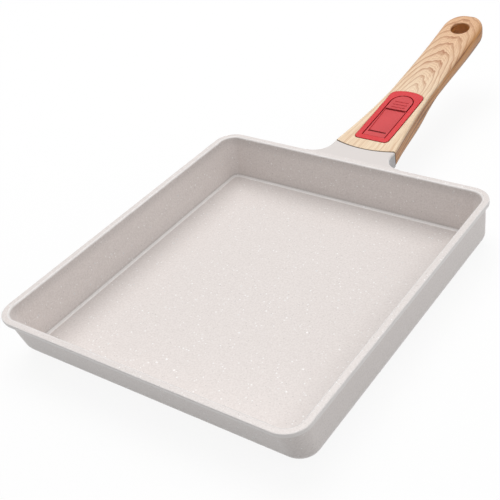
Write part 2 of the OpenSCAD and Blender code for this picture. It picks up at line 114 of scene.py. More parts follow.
class Sculpt:
    """One mesh object, shaped in edit mode with Blender's own operators."""

    def __init__(self, name: str) -> None:
        """Takes over the primitive that was just added and names it."""
        self.obj = bpy.context.active_object
        self.obj.name = name
        self.obj.data.name = name

    @classmethod
    def plane(cls, name: str, size: Point, centre: Place) -> "Sculpt":
        """Starts from a level rectangle.

        Args:
            name: Name of the object.
            size: Size along X and Y.
            centre: Middle of the rectangle.

        Returns:
            The new piece.
        """
        bpy.ops.object.select_all(action="DESELECT")
        bpy.ops.mesh.primitive_plane_add(size=1.0)
        return cls(name)._placed((size[0], size[1], 1.0), centre)

    @classmethod
    def block(cls, name: str, size: Place, centre: Place) -> "Sculpt":
        """Starts from a box of the given size and middle.

        Args:
            name: Name of the object.
            size: Size along X, Y and Z.
            centre: Middle of the box.

        Returns:
            The new piece.
        """
        bpy.ops.object.select_all(action="DESELECT")
        bpy.ops.mesh.primitive_cube_add(size=1.0)
        return cls(name)._placed(size, centre)

    @classmethod
    def drum(cls, name: str, radius: float, height: float, centre: Place, sides: int = 64) -> "Sculpt":
        """Starts from an upright cylinder of the given radius, height and middle.

        Args:
            name: Name of the object.
            radius: Its radius.
            height: Its height.
            centre: Its middle.
            sides: Number of its sides.

        Returns:
            The new piece.
        """
        bpy.ops.object.select_all(action="DESELECT")
        bpy.ops.mesh.primitive_cylinder_add(vertices=sides, radius=1.0, depth=1.0)
        return cls(name)._placed((radius, radius, height), centre)

    def _placed(self, size: Place, centre: Place) -> "Sculpt":
        """Scales and moves the new primitive inside its mesh, so that its object stays at the origin.

        Args:
            size: Size along each axis.
            centre: Its middle.

        Returns:
            The piece itself.
        """
        with self.editing():
            bpy.ops.mesh.select_all(action="SELECT")
            bpy.ops.transform.resize(value=size, center_override=(0, 0, 0))
            bpy.ops.transform.translate(value=centre)
        return self

    @contextmanager
    def editing(self) -> Iterator[None]:
        """Holds the piece in edit mode.

        Returns:
            The context in which the piece is edited.
        """
        bpy.ops.object.select_all(action="DESELECT")
        self.obj.select_set(True)
        bpy.context.view_layer.objects.active = self.obj
        bpy.ops.object.mode_set(mode="EDIT")
        yield
        bpy.ops.object.mode_set(mode="OBJECT")

    def pick_points(self, test: Callable[[Vector], bool]) -> int:
        """Selects the vertices whose place passes the test.

        Args:
            test: Tells from a vertex's place whether it is wanted.

        Returns:
            How many there are.
        """
        bpy.ops.mesh.select_mode(type="VERT")
        bpy.ops.mesh.select_all(action="DESELECT")
        mesh = bmesh.from_edit_mesh(self.obj.data)
        picked = [v for v in mesh.verts if test(v.co)]
        for vertex in picked:
            vertex.select_set(True)
        mesh.select_flush(True)
        bmesh.update_edit_mesh(self.obj.data)
        return len(picked)

    def pick_edges(self, test: Callable[[Vector, Vector], bool]) -> int:
        """Selects the edges whose two ends pass the test.

        Args:
            test: Tells from an edge's two ends whether it is wanted.

        Returns:
            How many there are.
        """
        bpy.ops.mesh.select_mode(type="EDGE")
        bpy.ops.mesh.select_all(action="DESELECT")
        mesh = bmesh.from_edit_mesh(self.obj.data)
        picked = [e for e in mesh.edges if test(e.verts[0].co, e.verts[1].co)]
        for edge in picked:
            edge.select_set(True)
        bmesh.update_edit_mesh(self.obj.data)
        return len(picked)

    def pick_members(self, members: set[int]) -> None:
        """Selects vertices by their numbers.

        Args:
            members: The vertices' numbers.
        """
        self.pick_points(lambda co: False)
        mesh = bmesh.from_edit_mesh(self.obj.data)
        mesh.verts.ensure_lookup_table()
        for index in members:
            mesh.verts[index].select_set(True)
        mesh.select_flush(True)
        bmesh.update_edit_mesh(self.obj.data)

    def pick_cap(self, up: int) -> float:
        """Selects the highest or the lowest face.

        Args:
            up: 1 for the highest face and -1 for the lowest.

        Returns:
            The face's height.
        """
        mesh = bmesh.from_edit_mesh(self.obj.data)
        level = up * max(up * face.calc_center_median().z for face in mesh.faces)
        self.pick_faces(lambda co, normal: abs(co.z - level) < NEAR)
        return level

    def pick_faces(self, test: Callable[[Vector, Vector], bool]) -> int:
        """Selects the faces whose middle and normal pass the test.

        Args:
            test: Tells from a face's middle and normal whether it is wanted.

        Returns:
            How many there are.
        """
        bpy.ops.mesh.select_mode(type="FACE")
        bpy.ops.mesh.select_all(action="DESELECT")
        mesh = bmesh.from_edit_mesh(self.obj.data)
        mesh.normal_update()
        picked = [f for f in mesh.faces if test(f.calc_center_median(), f.normal)]
        for face in picked:
            face.select_set(True)
        bmesh.update_edit_mesh(self.obj.data)
        return len(picked)

    @staticmethod
    def move(x: float, y: float, z: float) -> None:
        """Moves what is selected."""
        bpy.ops.transform.translate(value=(x, y, z))

    @staticmethod
    def extrude(x: float, y: float, z: float) -> None:
        """Extrudes what is selected and moves the new end."""
        bpy.ops.mesh.extrude_region_move(TRANSFORM_OT_translate={"value": (x, y, z)})

    @staticmethod
    def inset(thickness: float, depth: float) -> None:
        """Insets the selected face by an even width, and moves it along its normal."""
        bpy.ops.mesh.inset(thickness=thickness, depth=depth, use_even_offset=True)

    @staticmethod
    def bevel(width: float, segments: int, corners: bool = False) -> None:
        """Rounds the selected edges, or the selected corner points of a flat face.

        Args:
            width: Width of the rounding.
            segments: Number of its steps.
            corners: Whether corner points are rounded instead of edges.
        """
        bpy.ops.mesh.bevel(
            offset=width,
            segments=segments,
            profile=0.5,
            affect="VERTICES" if corners else "EDGES",
            clamp_overlap=False,
        )

    def slice_along_y(self, places: Sequence[float]) -> None:
        """Cuts the mesh across at each place along Y, and keeps both sides.

        Args:
            places: Places of the cuts.
        """
        for y in places:
            bpy.ops.mesh.select_mode(type="VERT")
            bpy.ops.mesh.select_all(action="SELECT")
            bpy.ops.mesh.bisect(plane_co=(0, y, 0), plane_no=(0, 1, 0), use_fill=False)

    def drape(self, height: Callable[[float], float]) -> None:
        """Lifts each row of vertices across the piece by the height at its place along Y.

        Args:
            height: Gives the lift at a place along Y.
        """
        rows: dict[float, set[int]] = {}
        for vertex in bmesh.from_edit_mesh(self.obj.data).verts:
            rows.setdefault(round(vertex.co.y, 6), set()).add(vertex.index)
        for y, members in rows.items():
            self.pick_members(members)
            self.move(0, 0, height(y))

    def tidy(self) -> None:
        """Merges doubled points and turns every face outwards."""
        bpy.ops.mesh.select_mode(type="VERT")
        bpy.ops.mesh.select_all(action="SELECT")
        bpy.ops.mesh.remove_doubles(threshold=NEAR)
        bpy.ops.mesh.normals_make_consistent(inside=False)

    def combine(self, other: "Sculpt", how: Combine) -> "Sculpt":
        """Joins this piece with another one, or cuts it by that one, which is used up.

        Args:
            other: The other piece.
            how: What is done with it.

        Returns:
            The piece itself.
        """
        modifier = self.obj.modifiers.new("combine", "BOOLEAN")
        modifier.operation = how.value
        modifier.object = other.obj
        modifier.solver = "EXACT"
        self._apply(modifier)
        bpy.data.objects.remove(other.obj)
        return self

    def _apply(self, modifier: bpy.types.Modifier) -> None:
        """Applies a modifier to the piece.

        Args:
            modifier: The modifier.
        """
        bpy.ops.object.select_all(action="DESELECT")
        self.obj.select_set(True)
        bpy.context.view_layer.objects.active = self.obj
        bpy.ops.object.modifier_apply(modifier=modifier.name)

    def finish(self, finish: "Finish", slot: str, node: str, angle: float = 35.0) -> bpy.types.Object:
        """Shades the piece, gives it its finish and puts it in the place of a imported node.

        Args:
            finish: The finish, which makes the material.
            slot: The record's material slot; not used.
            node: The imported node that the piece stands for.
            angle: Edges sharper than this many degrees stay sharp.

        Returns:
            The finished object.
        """
        with self.editing():
            self.tidy()
        bpy.ops.object.shade_smooth_by_angle(angle=math.radians(angle))
        weighted = self.obj.modifiers.new("weighted", "WEIGHTED_NORMAL")
        weighted.keep_sharp = True
        self._apply(weighted)
        self.obj.data.materials.clear()
        self.obj.data.materials.append(finish.material())
        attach(self.obj, BODY)
        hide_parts(node)
        LOG.info("%s: %d faces", self.obj.name, len(self.obj.data.polygons))
        return self.obj


@dataclass(frozen=True)
class Section:
    """A cross-section of a bar that runs along Y, with rounded corners."""

    y: float
    half: float
    top: float
    low: float
    top_r: float
    low_r: float

    def corners(self) -> dict[Corner, tuple[float, float, float]]:
        """Gives each corner's centre along X and Z, and its radius.

        Returns:
            Place along X, place along Z and radius of each corner.
        """
        top_r = min(self.top_r, self.half * 0.95)
        low_r = min(self.low_r, self.half * 0.95, self.top - self.low - top_r - 2e-5)
        radii = {1: top_r, -1: low_r}
        centres = {1: self.top - top_r, -1: self.low + low_r}
        return {
            c: (c.value[0] * (self.half - radii[c.value[1]]), centres[c.value[1]], radii[c.value[1]])
            for c in Corner
        }


class Bar(Sculpt):
    """A solid that is extruded from section to section, each corner moved and resized by itself."""

    LAYER = "corner"
    CORNER_STEPS = 7

    @classmethod
    def through(cls, name: str, sections: Sequence[Section]) -> "Bar":
        """Builds the bar.

        Args:
            name: Name of the object.
            sections: The sections in order along +Y.

        Returns:
            The closed solid.
        """
        first = sections[0]
        size = (2 * first.half, first.top - first.low)
        bar = cls.plane(name, size, (0, 0, 0))
        with bar.editing():
            bar._stand_up(first)
            for before, after in zip(sections, sections[1:]):
                bar._pick_end(before.y)
                bar.extrude(0, after.y - before.y, 0)
                bar._fit_corners(before, after)
            bar.tidy()
        bar.obj.data.attributes.remove(bar.obj.data.attributes[cls.LAYER])
        return bar

    def _stand_up(self, first: Section) -> None:
        """Turns the rectangle upright at the first section and rounds its corners.

        Args:
            first: The first section.
        """
        bpy.ops.mesh.select_all(action="SELECT")
        bpy.ops.transform.rotate(value=math.pi / 2, orient_axis="X", center_override=(0, 0, 0))
        self.move(0, first.y, (first.top + first.low) / 2)
        spots = first.corners()
        for corner, (x, z, radius) in spots.items():
            side, level = corner.value
            self.pick_points(lambda co, s=side, t=level: co.x * s > 0 and self._half_of(co, first) * t > 0
                             and abs(abs(co.x) - first.half) < NEAR)
            self.bevel(radius, self.CORNER_STEPS, corners=True)
        mesh = bmesh.from_edit_mesh(self.obj.data)
        layer = mesh.verts.layers.int.new(self.LAYER)
        for vertex in mesh.verts:
            for index, corner in enumerate(Corner):
                side, level = corner.value
                if vertex.co.x * side > 0 and self._split(vertex.co, spots) * level > 0:
                    vertex[layer] = index
        bmesh.update_edit_mesh(self.obj.data)

    @staticmethod
    def _half_of(co: Vector, section: Section) -> float:
        """Gives the height above the section's middle."""
        return co.z - (section.top + section.low) / 2

    @staticmethod
    def _split(co: Vector, spots: dict[Corner, tuple[float, float, float]]) -> float:
        """Gives the height above the level half way between the upper and the lower corners."""
        return co.z - (spots[Corner.TOP_LEFT][1] + spots[Corner.LOW_LEFT][1]) / 2

    def _pick_end(self, y: float) -> None:
        """Selects the end face at the place y."""
        self.pick_points(lambda co: abs(co.y - y) < NEAR)

    def _fit_corners(self, before: Section, after: Section) -> None:
        """Resizes and moves each corner of the new end from the last section's to the next one's.

        Args:
            before: The section before the new end.
            after: The new end's section.
        """
        old, new = before.corners(), after.corners()
        for index, corner in enumerate(Corner):
            x0, z0, r0 = old[corner]
            x1, z1, r1 = new[corner]
            self._pick_corner(after.y, index)
            if abs(r1 - r0) > NEAR:
                bpy.ops.transform.resize(value=(r1 / r0, 1, r1 / r0), center_override=(x0, after.y, z0))
            self.move(x1 - x0, 0, z1 - z0)

    def _pick_corner(self, y: float, index: int) -> None:
        """Selects one corner's points at the place y.

        Args:
            y: Place of the end face.
            index: Number of the corner.
        """
        bpy.ops.mesh.select_mode(type="VERT")
        bpy.ops.mesh.select_all(action="DESELECT")
        mesh = bmesh.from_edit_mesh(self.obj.data)
        layer = mesh.verts.layers.int[self.LAYER]
        for vertex in mesh.verts:
            if vertex[layer] == index and abs(vertex.co.y - y) < NEAR:
                vertex.select_set(True)
        mesh.select_flush(True)
        bmesh.update_edit_mesh(self.obj.data)


class NodeSheet:
    """Adds nodes to a shader tree and links them."""

    def __init__(self, tree: bpy.types.NodeTree) -> None:
        """Empties the tree."""
        self.tree = tree
        tree.nodes.clear()

    def add(self, kind: str, **settings: object) -> bpy.types.Node:
        """Adds a node and sets its properties.

        Args:
            kind: The node's type.
            settings: Its properties.

        Returns:
            The new node.
        """
        node = self.tree.nodes.new(kind)
        for key, value in settings.items():
            setattr(node, key, value)
        return node

    def feed(self, node: bpy.types.Node, **inputs: object) -> bpy.types.Node:
        """Links or sets a node's inputs, named in lower case with underscores for spaces.

        Args:
            node: The node.
            inputs: A socket or a value for each input.

        Returns:
            The same node.
        """
        for key, value in inputs.items():
            socket = next(s for s in node.inputs if s.enabled and s.name.lower().replace(" ", "_") == key)
            self.put(socket, value)
        return node

    def put(self, socket: Socket, value: object) -> None:
        """Links a socket to another one, or sets its value.

        Args:
            socket: The input.
            value: A socket or a value.
        """
        if isinstance(value, bpy.types.NodeSocket):
            self.tree.links.new(value, socket)
        elif isinstance(value, tuple) and len(value) == 3 and socket.type == "RGBA":
            socket.default_value = (*value, 1.0)
        else:
            socket.default_value = value

    def maths(self, operation: str, *values: object) -> Socket:
        """Adds a Math node and returns its result.

        Args:
            operation: What the node works out.
            values: Its inputs in order.

        Returns:
            Its result.
        """
        node = self.add("ShaderNodeMath", operation=operation)
        for socket, value in zip(node.inputs, values):
            self.put(socket, value)
        return node.outputs[0]

    def times(self, first: object, second: object) -> Socket:
        """Multiplies two values."""
        return self.maths("MULTIPLY", first, second)

    def plus(self, first: object, second: object) -> Socket:
        """Adds two values."""
        return self.maths("ADD", first, second)

    def minus(self, first: object, second: object) -> Socket:
        """Takes the second value from the first."""
        return self.maths("SUBTRACT", first, second)

    def most(self, first: object, second: object) -> Socket:
        """Gives the larger of two values."""
        return self.maths("MAXIMUM", first, second)

    def below(self, value: object, limit: float) -> Socket:
        """Gives 1 where the value is under the limit, and 0 elsewhere."""
        return self.maths("LESS_THAN", value, limit)

    def blend(self, share: object, first: object, second: object) -> Socket:
        """Mixes two colours and returns the result.

        Args:
            share: Share of the second colour.
            first: A colour.
            second: Another colour.

        Returns:
            The mixed colour.
        """
        node = self.add("ShaderNodeMix", data_type="RGBA")
        self.put(node.inputs[0], share)
        self.put(node.inputs[6], first)
        self.put(node.inputs[7], second)
        return node.outputs[2]

    def span(self, value: object, low: float, high: float, to_low: float = 0.0, to_high: float = 1.0,
             smooth: bool = False) -> Socket:
        """Maps a value from one range to another, held at both ends.

        Args:
            value: A socket or a number.
            low: Start of its range.
            high: End of its range.
            to_low: Result at the start.
            to_high: Result at the end.
            smooth: Whether the change eases in and out.

        Returns:
            The mapped value.
        """
        node = self.add("ShaderNodeMapRange", clamp=True)
        node.interpolation_type = "SMOOTHSTEP" if smooth else "LINEAR"
        for socket, item in zip(node.inputs, (value, low, high, to_low, to_high)):
            self.put(socket, item)
        return node.outputs[0]

    def noise(self, vector: object, scale: object, detail: float = 2.0, roughness: float = 0.5) -> Socket:
        """Adds a noise texture and returns its value.

        Args:
            vector: The place.
            scale: Scale of the noise, per metre.
            detail: How many finer layers it has.
            roughness: How strong the finer layers are.

        Returns:
            The noise value.
        """
        node = self.add("ShaderNodeTexNoise")
        self.feed(node, vector=vector, scale=scale, detail=detail, roughness=roughness)
        return node.outputs[0]

    def stretched(self, vector: object, scale: Place) -> Socket:
        """Scales a coordinate along each axis.

        Args:
            vector: The place.
            scale: Factor along each axis.

        Returns:
            The scaled place.
        """
        node = self.add("ShaderNodeVectorMath", operation="MULTIPLY")
        self.put(node.inputs[0], vector)
        self.put(node.inputs[1], scale)
        return node.outputs[0]

    def parts(self, vector: object) -> Sockets:
        """Splits a coordinate into X, Y and Z.

        Args:
            vector: The place.

        Returns:
            The parts by the names of their axes.
        """
        node = self.add("ShaderNodeSeparateXYZ")
        self.put(node.inputs[0], vector)
        return node.outputs

    def joined(self, *values: object) -> Socket:
        """Joins three values into a coordinate.

        Args:
            values: The three parts.

        Returns:
            The place.
        """
        node = self.add("ShaderNodeCombineXYZ")
        for socket, value in zip(node.inputs, values):
            self.put(socket, value)
        return node.outputs[0]

    def direction(self) -> Socket:
        """Gives the direction in which the surface faces, in the piece's own frame."""
        return self.add("ShaderNodeTexCoord").outputs["Normal"]


class Effects:
    """The shader groups that several finishes share, each built once."""

    @staticmethod
    def _group(name: str, numbers: dict[str, float],
               results: Sequence[str]) -> tuple[NodeSheet, Sockets, Sockets]:
        """Starts a shader group that reads a place, named Vector, and some numbers.

        Args:
            name: Name of the group.
            numbers: Name and default of each number that it reads.
            results: Names of the numbers that it gives.

        Returns:
            The sheet, what the group is given and what it gives out.
        """
        tree = bpy.data.node_groups.new(name, "ShaderNodeTree")
        number = "NodeSocketFloat"
        tree.interface.new_socket("Vector", in_out="INPUT", socket_type="NodeSocketVector")
        for label, value in numbers.items():
            tree.interface.new_socket(label, in_out="INPUT", socket_type=number).default_value = value
        for label in results:
            tree.interface.new_socket(label, in_out="OUTPUT", socket_type=number)
        sheet = NodeSheet(tree)
        return sheet, sheet.add("NodeGroupInput").outputs, sheet.add("NodeGroupOutput").inputs

    @staticmethod
    @cache
    def speckle() -> bpy.types.NodeTree:
        """Gives the group that scatters round specks: Vector, Cell, Size and Share to Mask.

        Returns:
            The group.
        """
        defaults = {"Cell": 0.004, "Size": 0.0003, "Share": 0.5}
        sheet, given, out = Effects._group("speckle", defaults, ["Mask"])
        scale = sheet.maths("DIVIDE", 1.0, given["Cell"])
        cells = sheet.add("ShaderNodeTexVoronoi")
        sheet.feed(cells, vector=given["Vector"], scale=scale, randomness=1.0)
        tone = sheet.add("ShaderNodeSeparateColor")
        sheet.put(tone.inputs[0], cells.outputs["Color"])
        size = sheet.times(sheet.times(given["Size"], scale), sheet.plus(0.5, tone.outputs["Green"]))
        round_spot = sheet.span(sheet.maths("DIVIDE", cells.outputs["Distance"], size), 1.0, 0.6)
        kept = sheet.maths("LESS_THAN", tone.outputs["Red"], given["Share"])
        sheet.put(out["Mask"], sheet.times(round_spot, kept))
        return sheet.tree

    @staticmethod
    @cache
    def fine_relief() -> bpy.types.NodeTree:
        """Gives the group of fine surface unevenness: Vector and Grain to Height and Patch.

        Returns:
            The group.
        """
        sheet, given, out = Effects._group("fine_relief", {"Grain": 0.0006}, ["Height", "Patch"])
        scale = sheet.maths("DIVIDE", 1.0, given["Grain"])
        sheet.put(out["Height"], sheet.noise(given["Vector"], scale, detail=3.0))
        sheet.put(out["Patch"], sheet.noise(given["Vector"], sheet.times(scale, 0.02)))
        return sheet.tree

    @staticmethod
    @cache
    def brushed_lines() -> bpy.types.NodeTree:
        """Gives the group of fine brushed lines along X: Vector and Pitch to Line.

        Returns:
            The group.
        """
        sheet, given, out = Effects._group("brushed_lines", {"Pitch": 0.0004}, ["Line"])
        scale = sheet.maths("DIVIDE", 1.0, given["Pitch"])
        long_ways = sheet.stretched(given["Vector"], (0.02, 1.0, 1.0))
        sheet.put(out["Line"], sheet.noise(long_ways, scale, detail=4.0, roughness=0.7))
        return sheet.tree

    @staticmethod
    @cache
    def handle_place() -> bpy.types.NodeTree:
        """Gives the group that unbends the handle: Vector to Along, Across less the flare, and Depth.

        Returns:
            The group.
        """
        sheet, given, out = Effects._group("handle_place", {}, ["Along", "Across", "Depth"])
        line = HandleLine()
        spot = sheet.parts(given["Vector"])
        along = sheet.minus(spot["Y"], line.joint_y)
        steeper = sheet.plus(line.start_slope, sheet.times(along, line.bend))
        top = sheet.plus(line.rim_z, sheet.times(along, steeper))
        narrowing = sheet.span(along, line.sag, line.sag + line.narrow_l, 1.0, 0.0)
        flare = sheet.maths("POWER", narrowing, line.narrow_power)
        width = sheet.plus(1.0, sheet.times(flare, line.neck_w / line.waist_w - 1.0))
        sheet.put(out["Along"], along)
        sheet.put(out["Across"], sheet.maths("DIVIDE", spot["X"], width))
        sheet.put(out["Depth"], sheet.minus(spot["Z"], top))
        return sheet.tree

    @staticmethod
    def place(sheet: NodeSheet, tree: bpy.types.NodeTree, **inputs: object) -> Sockets:
        """Puts a group in a material, feeds it and returns what it gives.

        Args:
            sheet: The material's sheet.
            tree: The group.
            inputs: What the group is given.

        Returns:
            What the group gives, by name.
        """
        node = sheet.add("ShaderNodeGroup")
        node.node_tree = tree
        return sheet.feed(node, **inputs).outputs


@dataclass(frozen=True)
class Finish:
    """A surface finish, which makes its material once and then hands it out again."""

    name: str
    roughness: float = 0.5

    def material(self) -> bpy.types.Material:
        """Gives the finish's material, made on the first call.

        Returns:
            The material.
        """
        known = bpy.data.materials.get(self.name)
        if known:
            return known
        made = bpy.data.materials.new(self.name)
        made.use_nodes = True
        sheet = NodeSheet(made.node_tree)
        shader = sheet.add("ShaderNodeBsdfPrincipled")
        shader.inputs["Roughness"].default_value = self.roughness
        out = sheet.add("ShaderNodeOutputMaterial")
        sheet.put(out.inputs["Surface"], shader.outputs[0])
        self.dress(sheet, shader, sheet.add("ShaderNodeTexCoord").outputs["Object"])
        return made

    def dress(self, sheet: NodeSheet, shader: bpy.types.Node, vector: Socket) -> None:
        """Feeds the shader of the finish; each kind of finish does this its own way."""
        raise NotImplementedError

    def varied_roughness(self, sheet: NodeSheet, value: Socket, less: float, more: float) -> Socket:
        """Varies the roughness with a noise value, from a little less to a little more."""
        return sheet.span(value, 0.3, 0.7, self.roughness - less, self.roughness + more)

    @staticmethod
    def raise_bump(sheet: NodeSheet, shader: bpy.types.Node, height: object, depth: float) -> None:
        """Feeds a height to the shader's normal, with the given depth.

        Args:
            sheet: The material's sheet.
            shader: The material's shader.
            height: The height, about 0 to 1.
            depth: What a height of 1 is in metres.
        """
        bump = sheet.add("ShaderNodeBump")
        bump.inputs["Distance"].default_value = depth
        bump.inputs["Strength"].default_value = 1.0
        sheet.put(bump.inputs["Height"], height)
        sheet.put(shader.inputs["Normal"], bump.outputs[0])


@dataclass(frozen=True)
class Specks:
    """One layer of round specks in the coating."""

    tone: Colour
    cell: float
    size: float
    share: float
    strength: float

    def mask(self, sheet: NodeSheet, vector: Socket) -> Socket:
        """Gives the layer's mask, before its strength."""
        numbers = {"cell": self.cell, "size": self.size, "share": self.share}
        return Effects.place(sheet, Effects.speckle(), vector=vector, **numbers)["Mask"]


PALE_SPECK: Colour = (0.98, 0.96, 0.95)
GREY_SPECK: Colour = (0.50, 0.465, 0.445)


@dataclass(frozen=True)
class GraniteCoating(Finish):
    """Satin off-white non-stick coating with pale and grey specks, plain on the neck."""

    name: str = "granite_coating"
    roughness: float = 0.40
    base: Colour = (0.820, 0.762, 0.735)
    shade: Colour = (0.740, 0.680, 0.652)
    # Colour of the painted highlights.
    highlight_tone: Colour = PALE_SPECK
    neck_side: Colour = (0.50, 0.49, 0.49)
    specks: tuple[Specks, ...] = (
        Specks(GREY_SPECK, 0.0016, 0.00028, 0.35, 0.6),
        Specks(PALE_SPECK, 0.0021, 0.00040, 0.45, 0.9),
        Specks(PALE_SPECK, 0.0042, 0.00050, 0.50, 1.0),
    )
    speck_shine: float = 0.2
    mottles_per_m: float = 1000.0
    grain: float = 0.0006
    bump: float = 2e-5
    coat: float = 0.35
    coat_roughness: float = 0.18
    neck_from: float = 0.1040
    neck_full: float = 0.1060
    neck_dull: float = 0.10
    floor_x: float = 0.0841
    floor_y: float = 0.0951
    floor_z: float = 0.0032
    rim_z: float = 0.030
    lip_z: float = 0.0267
    # Strengths of the painted shade.
    foot_line_shade: float = 0.16
    foot_shade: float = 0.06
    wall_top_shade: float = 0.13
    under_lip_shade: float = 0.36
    floor_edge_shade: float = 0.16
    # Strengths of the painted highlights.
    fillet_highlight: float = 0.45
    lip_highlight: float = 0.5

    def dress(self, sheet: NodeSheet, shader: bpy.types.Node, vector: Socket) -> None:
        """Lays specks over a mottled base, with painted shade in the creases, painted highlights on the
        edges, plain on the neck.

        Args:
            sheet: The material's sheet.
            shader: The material's shader.
            vector: Place on the piece, in its own frame.
        """
        relief = Effects.place(sheet, Effects.fine_relief(), vector=vector, grain=self.grain)["Height"]
        spot = sheet.parts(vector)
        coated = sheet.span(spot["Y"], self.neck_from, self.neck_full, 1.0, 0.0, smooth=True)
        mottled = sheet.noise(vector, self.mottles_per_m, detail=4.0, roughness=0.65)
        colour = sheet.blend(sheet.times(sheet.span(mottled, 0.40, 0.62), coated), self.base, self.shade)
        raised: object = 0.0
        for layer in self.specks:
            mask = sheet.times(layer.mask(sheet, vector), sheet.times(coated, layer.strength))
            colour = sheet.blend(mask, colour, layer.tone)
            raised = sheet.plus(raised, mask)
        facing = self._facing(sheet, vector)
        neck_dull = sheet.span(coated, 0.0, 1.0, self.neck_dull, 0.0)
        # Painted shade: darker at the walls' foot and top, under the lip and round the floor's edge; the
        # neck is also a little darker.
        colour = sheet.blend(sheet.plus(self._painted_shade(sheet, spot, facing), neck_dull), colour, BLACK)
        # Painted highlights: paler on the floor's fillet, the rim's inner edge and the lip's face.
        colour = sheet.blend(self._painted_highlights(sheet, spot["Z"], facing), colour, self.highlight_tone)
        # The neck's sides under its top are a darker grey.
        under_top = sheet.span(spot["Z"], self.rim_z - 0.0006, self.rim_z - 0.0016)
        neck_side_mask = sheet.times(sheet.minus(1.0, coated), under_top)
        sheet.put(shader.inputs["Base Color"], sheet.blend(neck_side_mask, colour, self.neck_side))
        shine = sheet.times(mask, self.speck_shine)
        sheet.put(shader.inputs["Metallic"], shine)
        matt = self.varied_roughness(sheet, relief, 0.04, 0.06)
        sheet.put(shader.inputs["Roughness"], sheet.minus(matt, shine))
        shader.inputs["Coat Weight"].default_value = self.coat
        shader.inputs["Coat Roughness"].default_value = self.coat_roughness
        uneven = sheet.times(relief, sheet.span(coated, 0.0, 1.0, 0.2, 1.0))
        self.raise_bump(sheet, shader, sheet.plus(uneven, sheet.times(raised, 0.5)), self.bump)

    @staticmethod
    def _facing(sheet: NodeSheet, vector: Socket) -> Socket:
        """Tells the walls' outside, above 0, from their inside, below 0, by where the surface faces.

        Args:
            sheet: The material's sheet.
            vector: Place on the piece, in its own frame.

        Returns:
            How far the surface faces away from the middle of the pan.
        """
        product = sheet.add("ShaderNodeVectorMath", operation="DOT_PRODUCT")
        sheet.put(product.inputs[0], sheet.direction())
        sheet.put(product.inputs[1], sheet.stretched(vector, (1.0, 1.0, 0.0)))
        return product.outputs["Value"]

    @staticmethod
    def _outside(sheet: NodeSheet, facing: Socket) -> Socket:
        """Gives 1 on the outside of the walls and of the lip."""
        return sheet.span(facing, 0.01, 0.05)

    def _painted_shade(self, sheet: NodeSheet, spot: Sockets, facing: Socket) -> Socket:
        """Marks the painted shade: at the walls' foot and top, under the lip, round the floor.

        Args:
            sheet: The material's sheet.
            spot: Place on the casting, as X, Y and Z.
            facing: What _facing gives.

        Returns:
            The mask, up to about a third.
        """
        height = spot["Z"]
        foot_z = self.floor_z + 0.0010
        foot = sheet.plus(sheet.span(height, foot_z, self.floor_z + 0.0024, self.foot_line_shade, 0.0),
                          sheet.span(height, foot_z, self.floor_z + 0.0080, self.foot_shade, 0.0))
        top = sheet.span(height, self.rim_z - 0.0075, self.rim_z - 0.0015, 0.0, self.wall_top_shade, smooth=True)
        inner = sheet.times(sheet.span(facing, -0.005, -0.045), sheet.plus(foot, top))
        under = sheet.span(height, self.lip_z - 0.0022, self.lip_z - 0.0002, 0.0, self.under_lip_shade)
        under = sheet.times(under, sheet.below(height, self.lip_z + 0.0002))
        outer = sheet.times(self._outside(sheet, facing), under)
        to_side = sheet.minus(sheet.maths("ABSOLUTE", spot["X"]), self.floor_x)
        to_back = sheet.minus(spot["Y"], self.floor_y)
        to_wall = sheet.most(to_side, to_back)
        # Painted shade on the floor near the walls.
        edge = sheet.span(to_wall, -0.024, -0.003, 0.0, self.floor_edge_shade, smooth=True)
        on_floor = sheet.times(sheet.span(facing, -0.006, 0.0), sheet.below(height, self.floor_z + 0.0003))
        return sheet.plus(sheet.plus(inner, outer), sheet.times(edge, on_floor))

    def _painted_highlights(self, sheet: NodeSheet, height: Socket, facing: Socket) -> Socket:
        """Marks the painted highlights: the floor's fillet, the rim's inner edge, the lip.

        Args:
            sheet: The material's sheet.
            height: Height on the casting.
            facing: What _facing gives.

        Returns:
            The mask, up to a half.
        """
        fillet = sheet.below(height, self.floor_z + 0.0009)
        brim = sheet.span(height, self.rim_z - 0.0008, self.rim_z - 0.0004)
        inner = sheet.times(sheet.span(facing, -0.002, -0.015), sheet.most(fillet, brim))
        above = sheet.span(height, self.lip_z + 0.0003, self.lip_z + 0.0009)
        lip = sheet.times(self._outside(sheet, facing), above)
        return sheet.most(sheet.times(inner, self.fillet_highlight), sheet.times(lip, self.lip_highlight))


@dataclass(frozen=True)
class Ground:
    """A spot on the handle, straightened: how far along and across it lies and how deep under the top."""

    along: Socket
    across: Socket
    depth: Socket
    joined: Socket


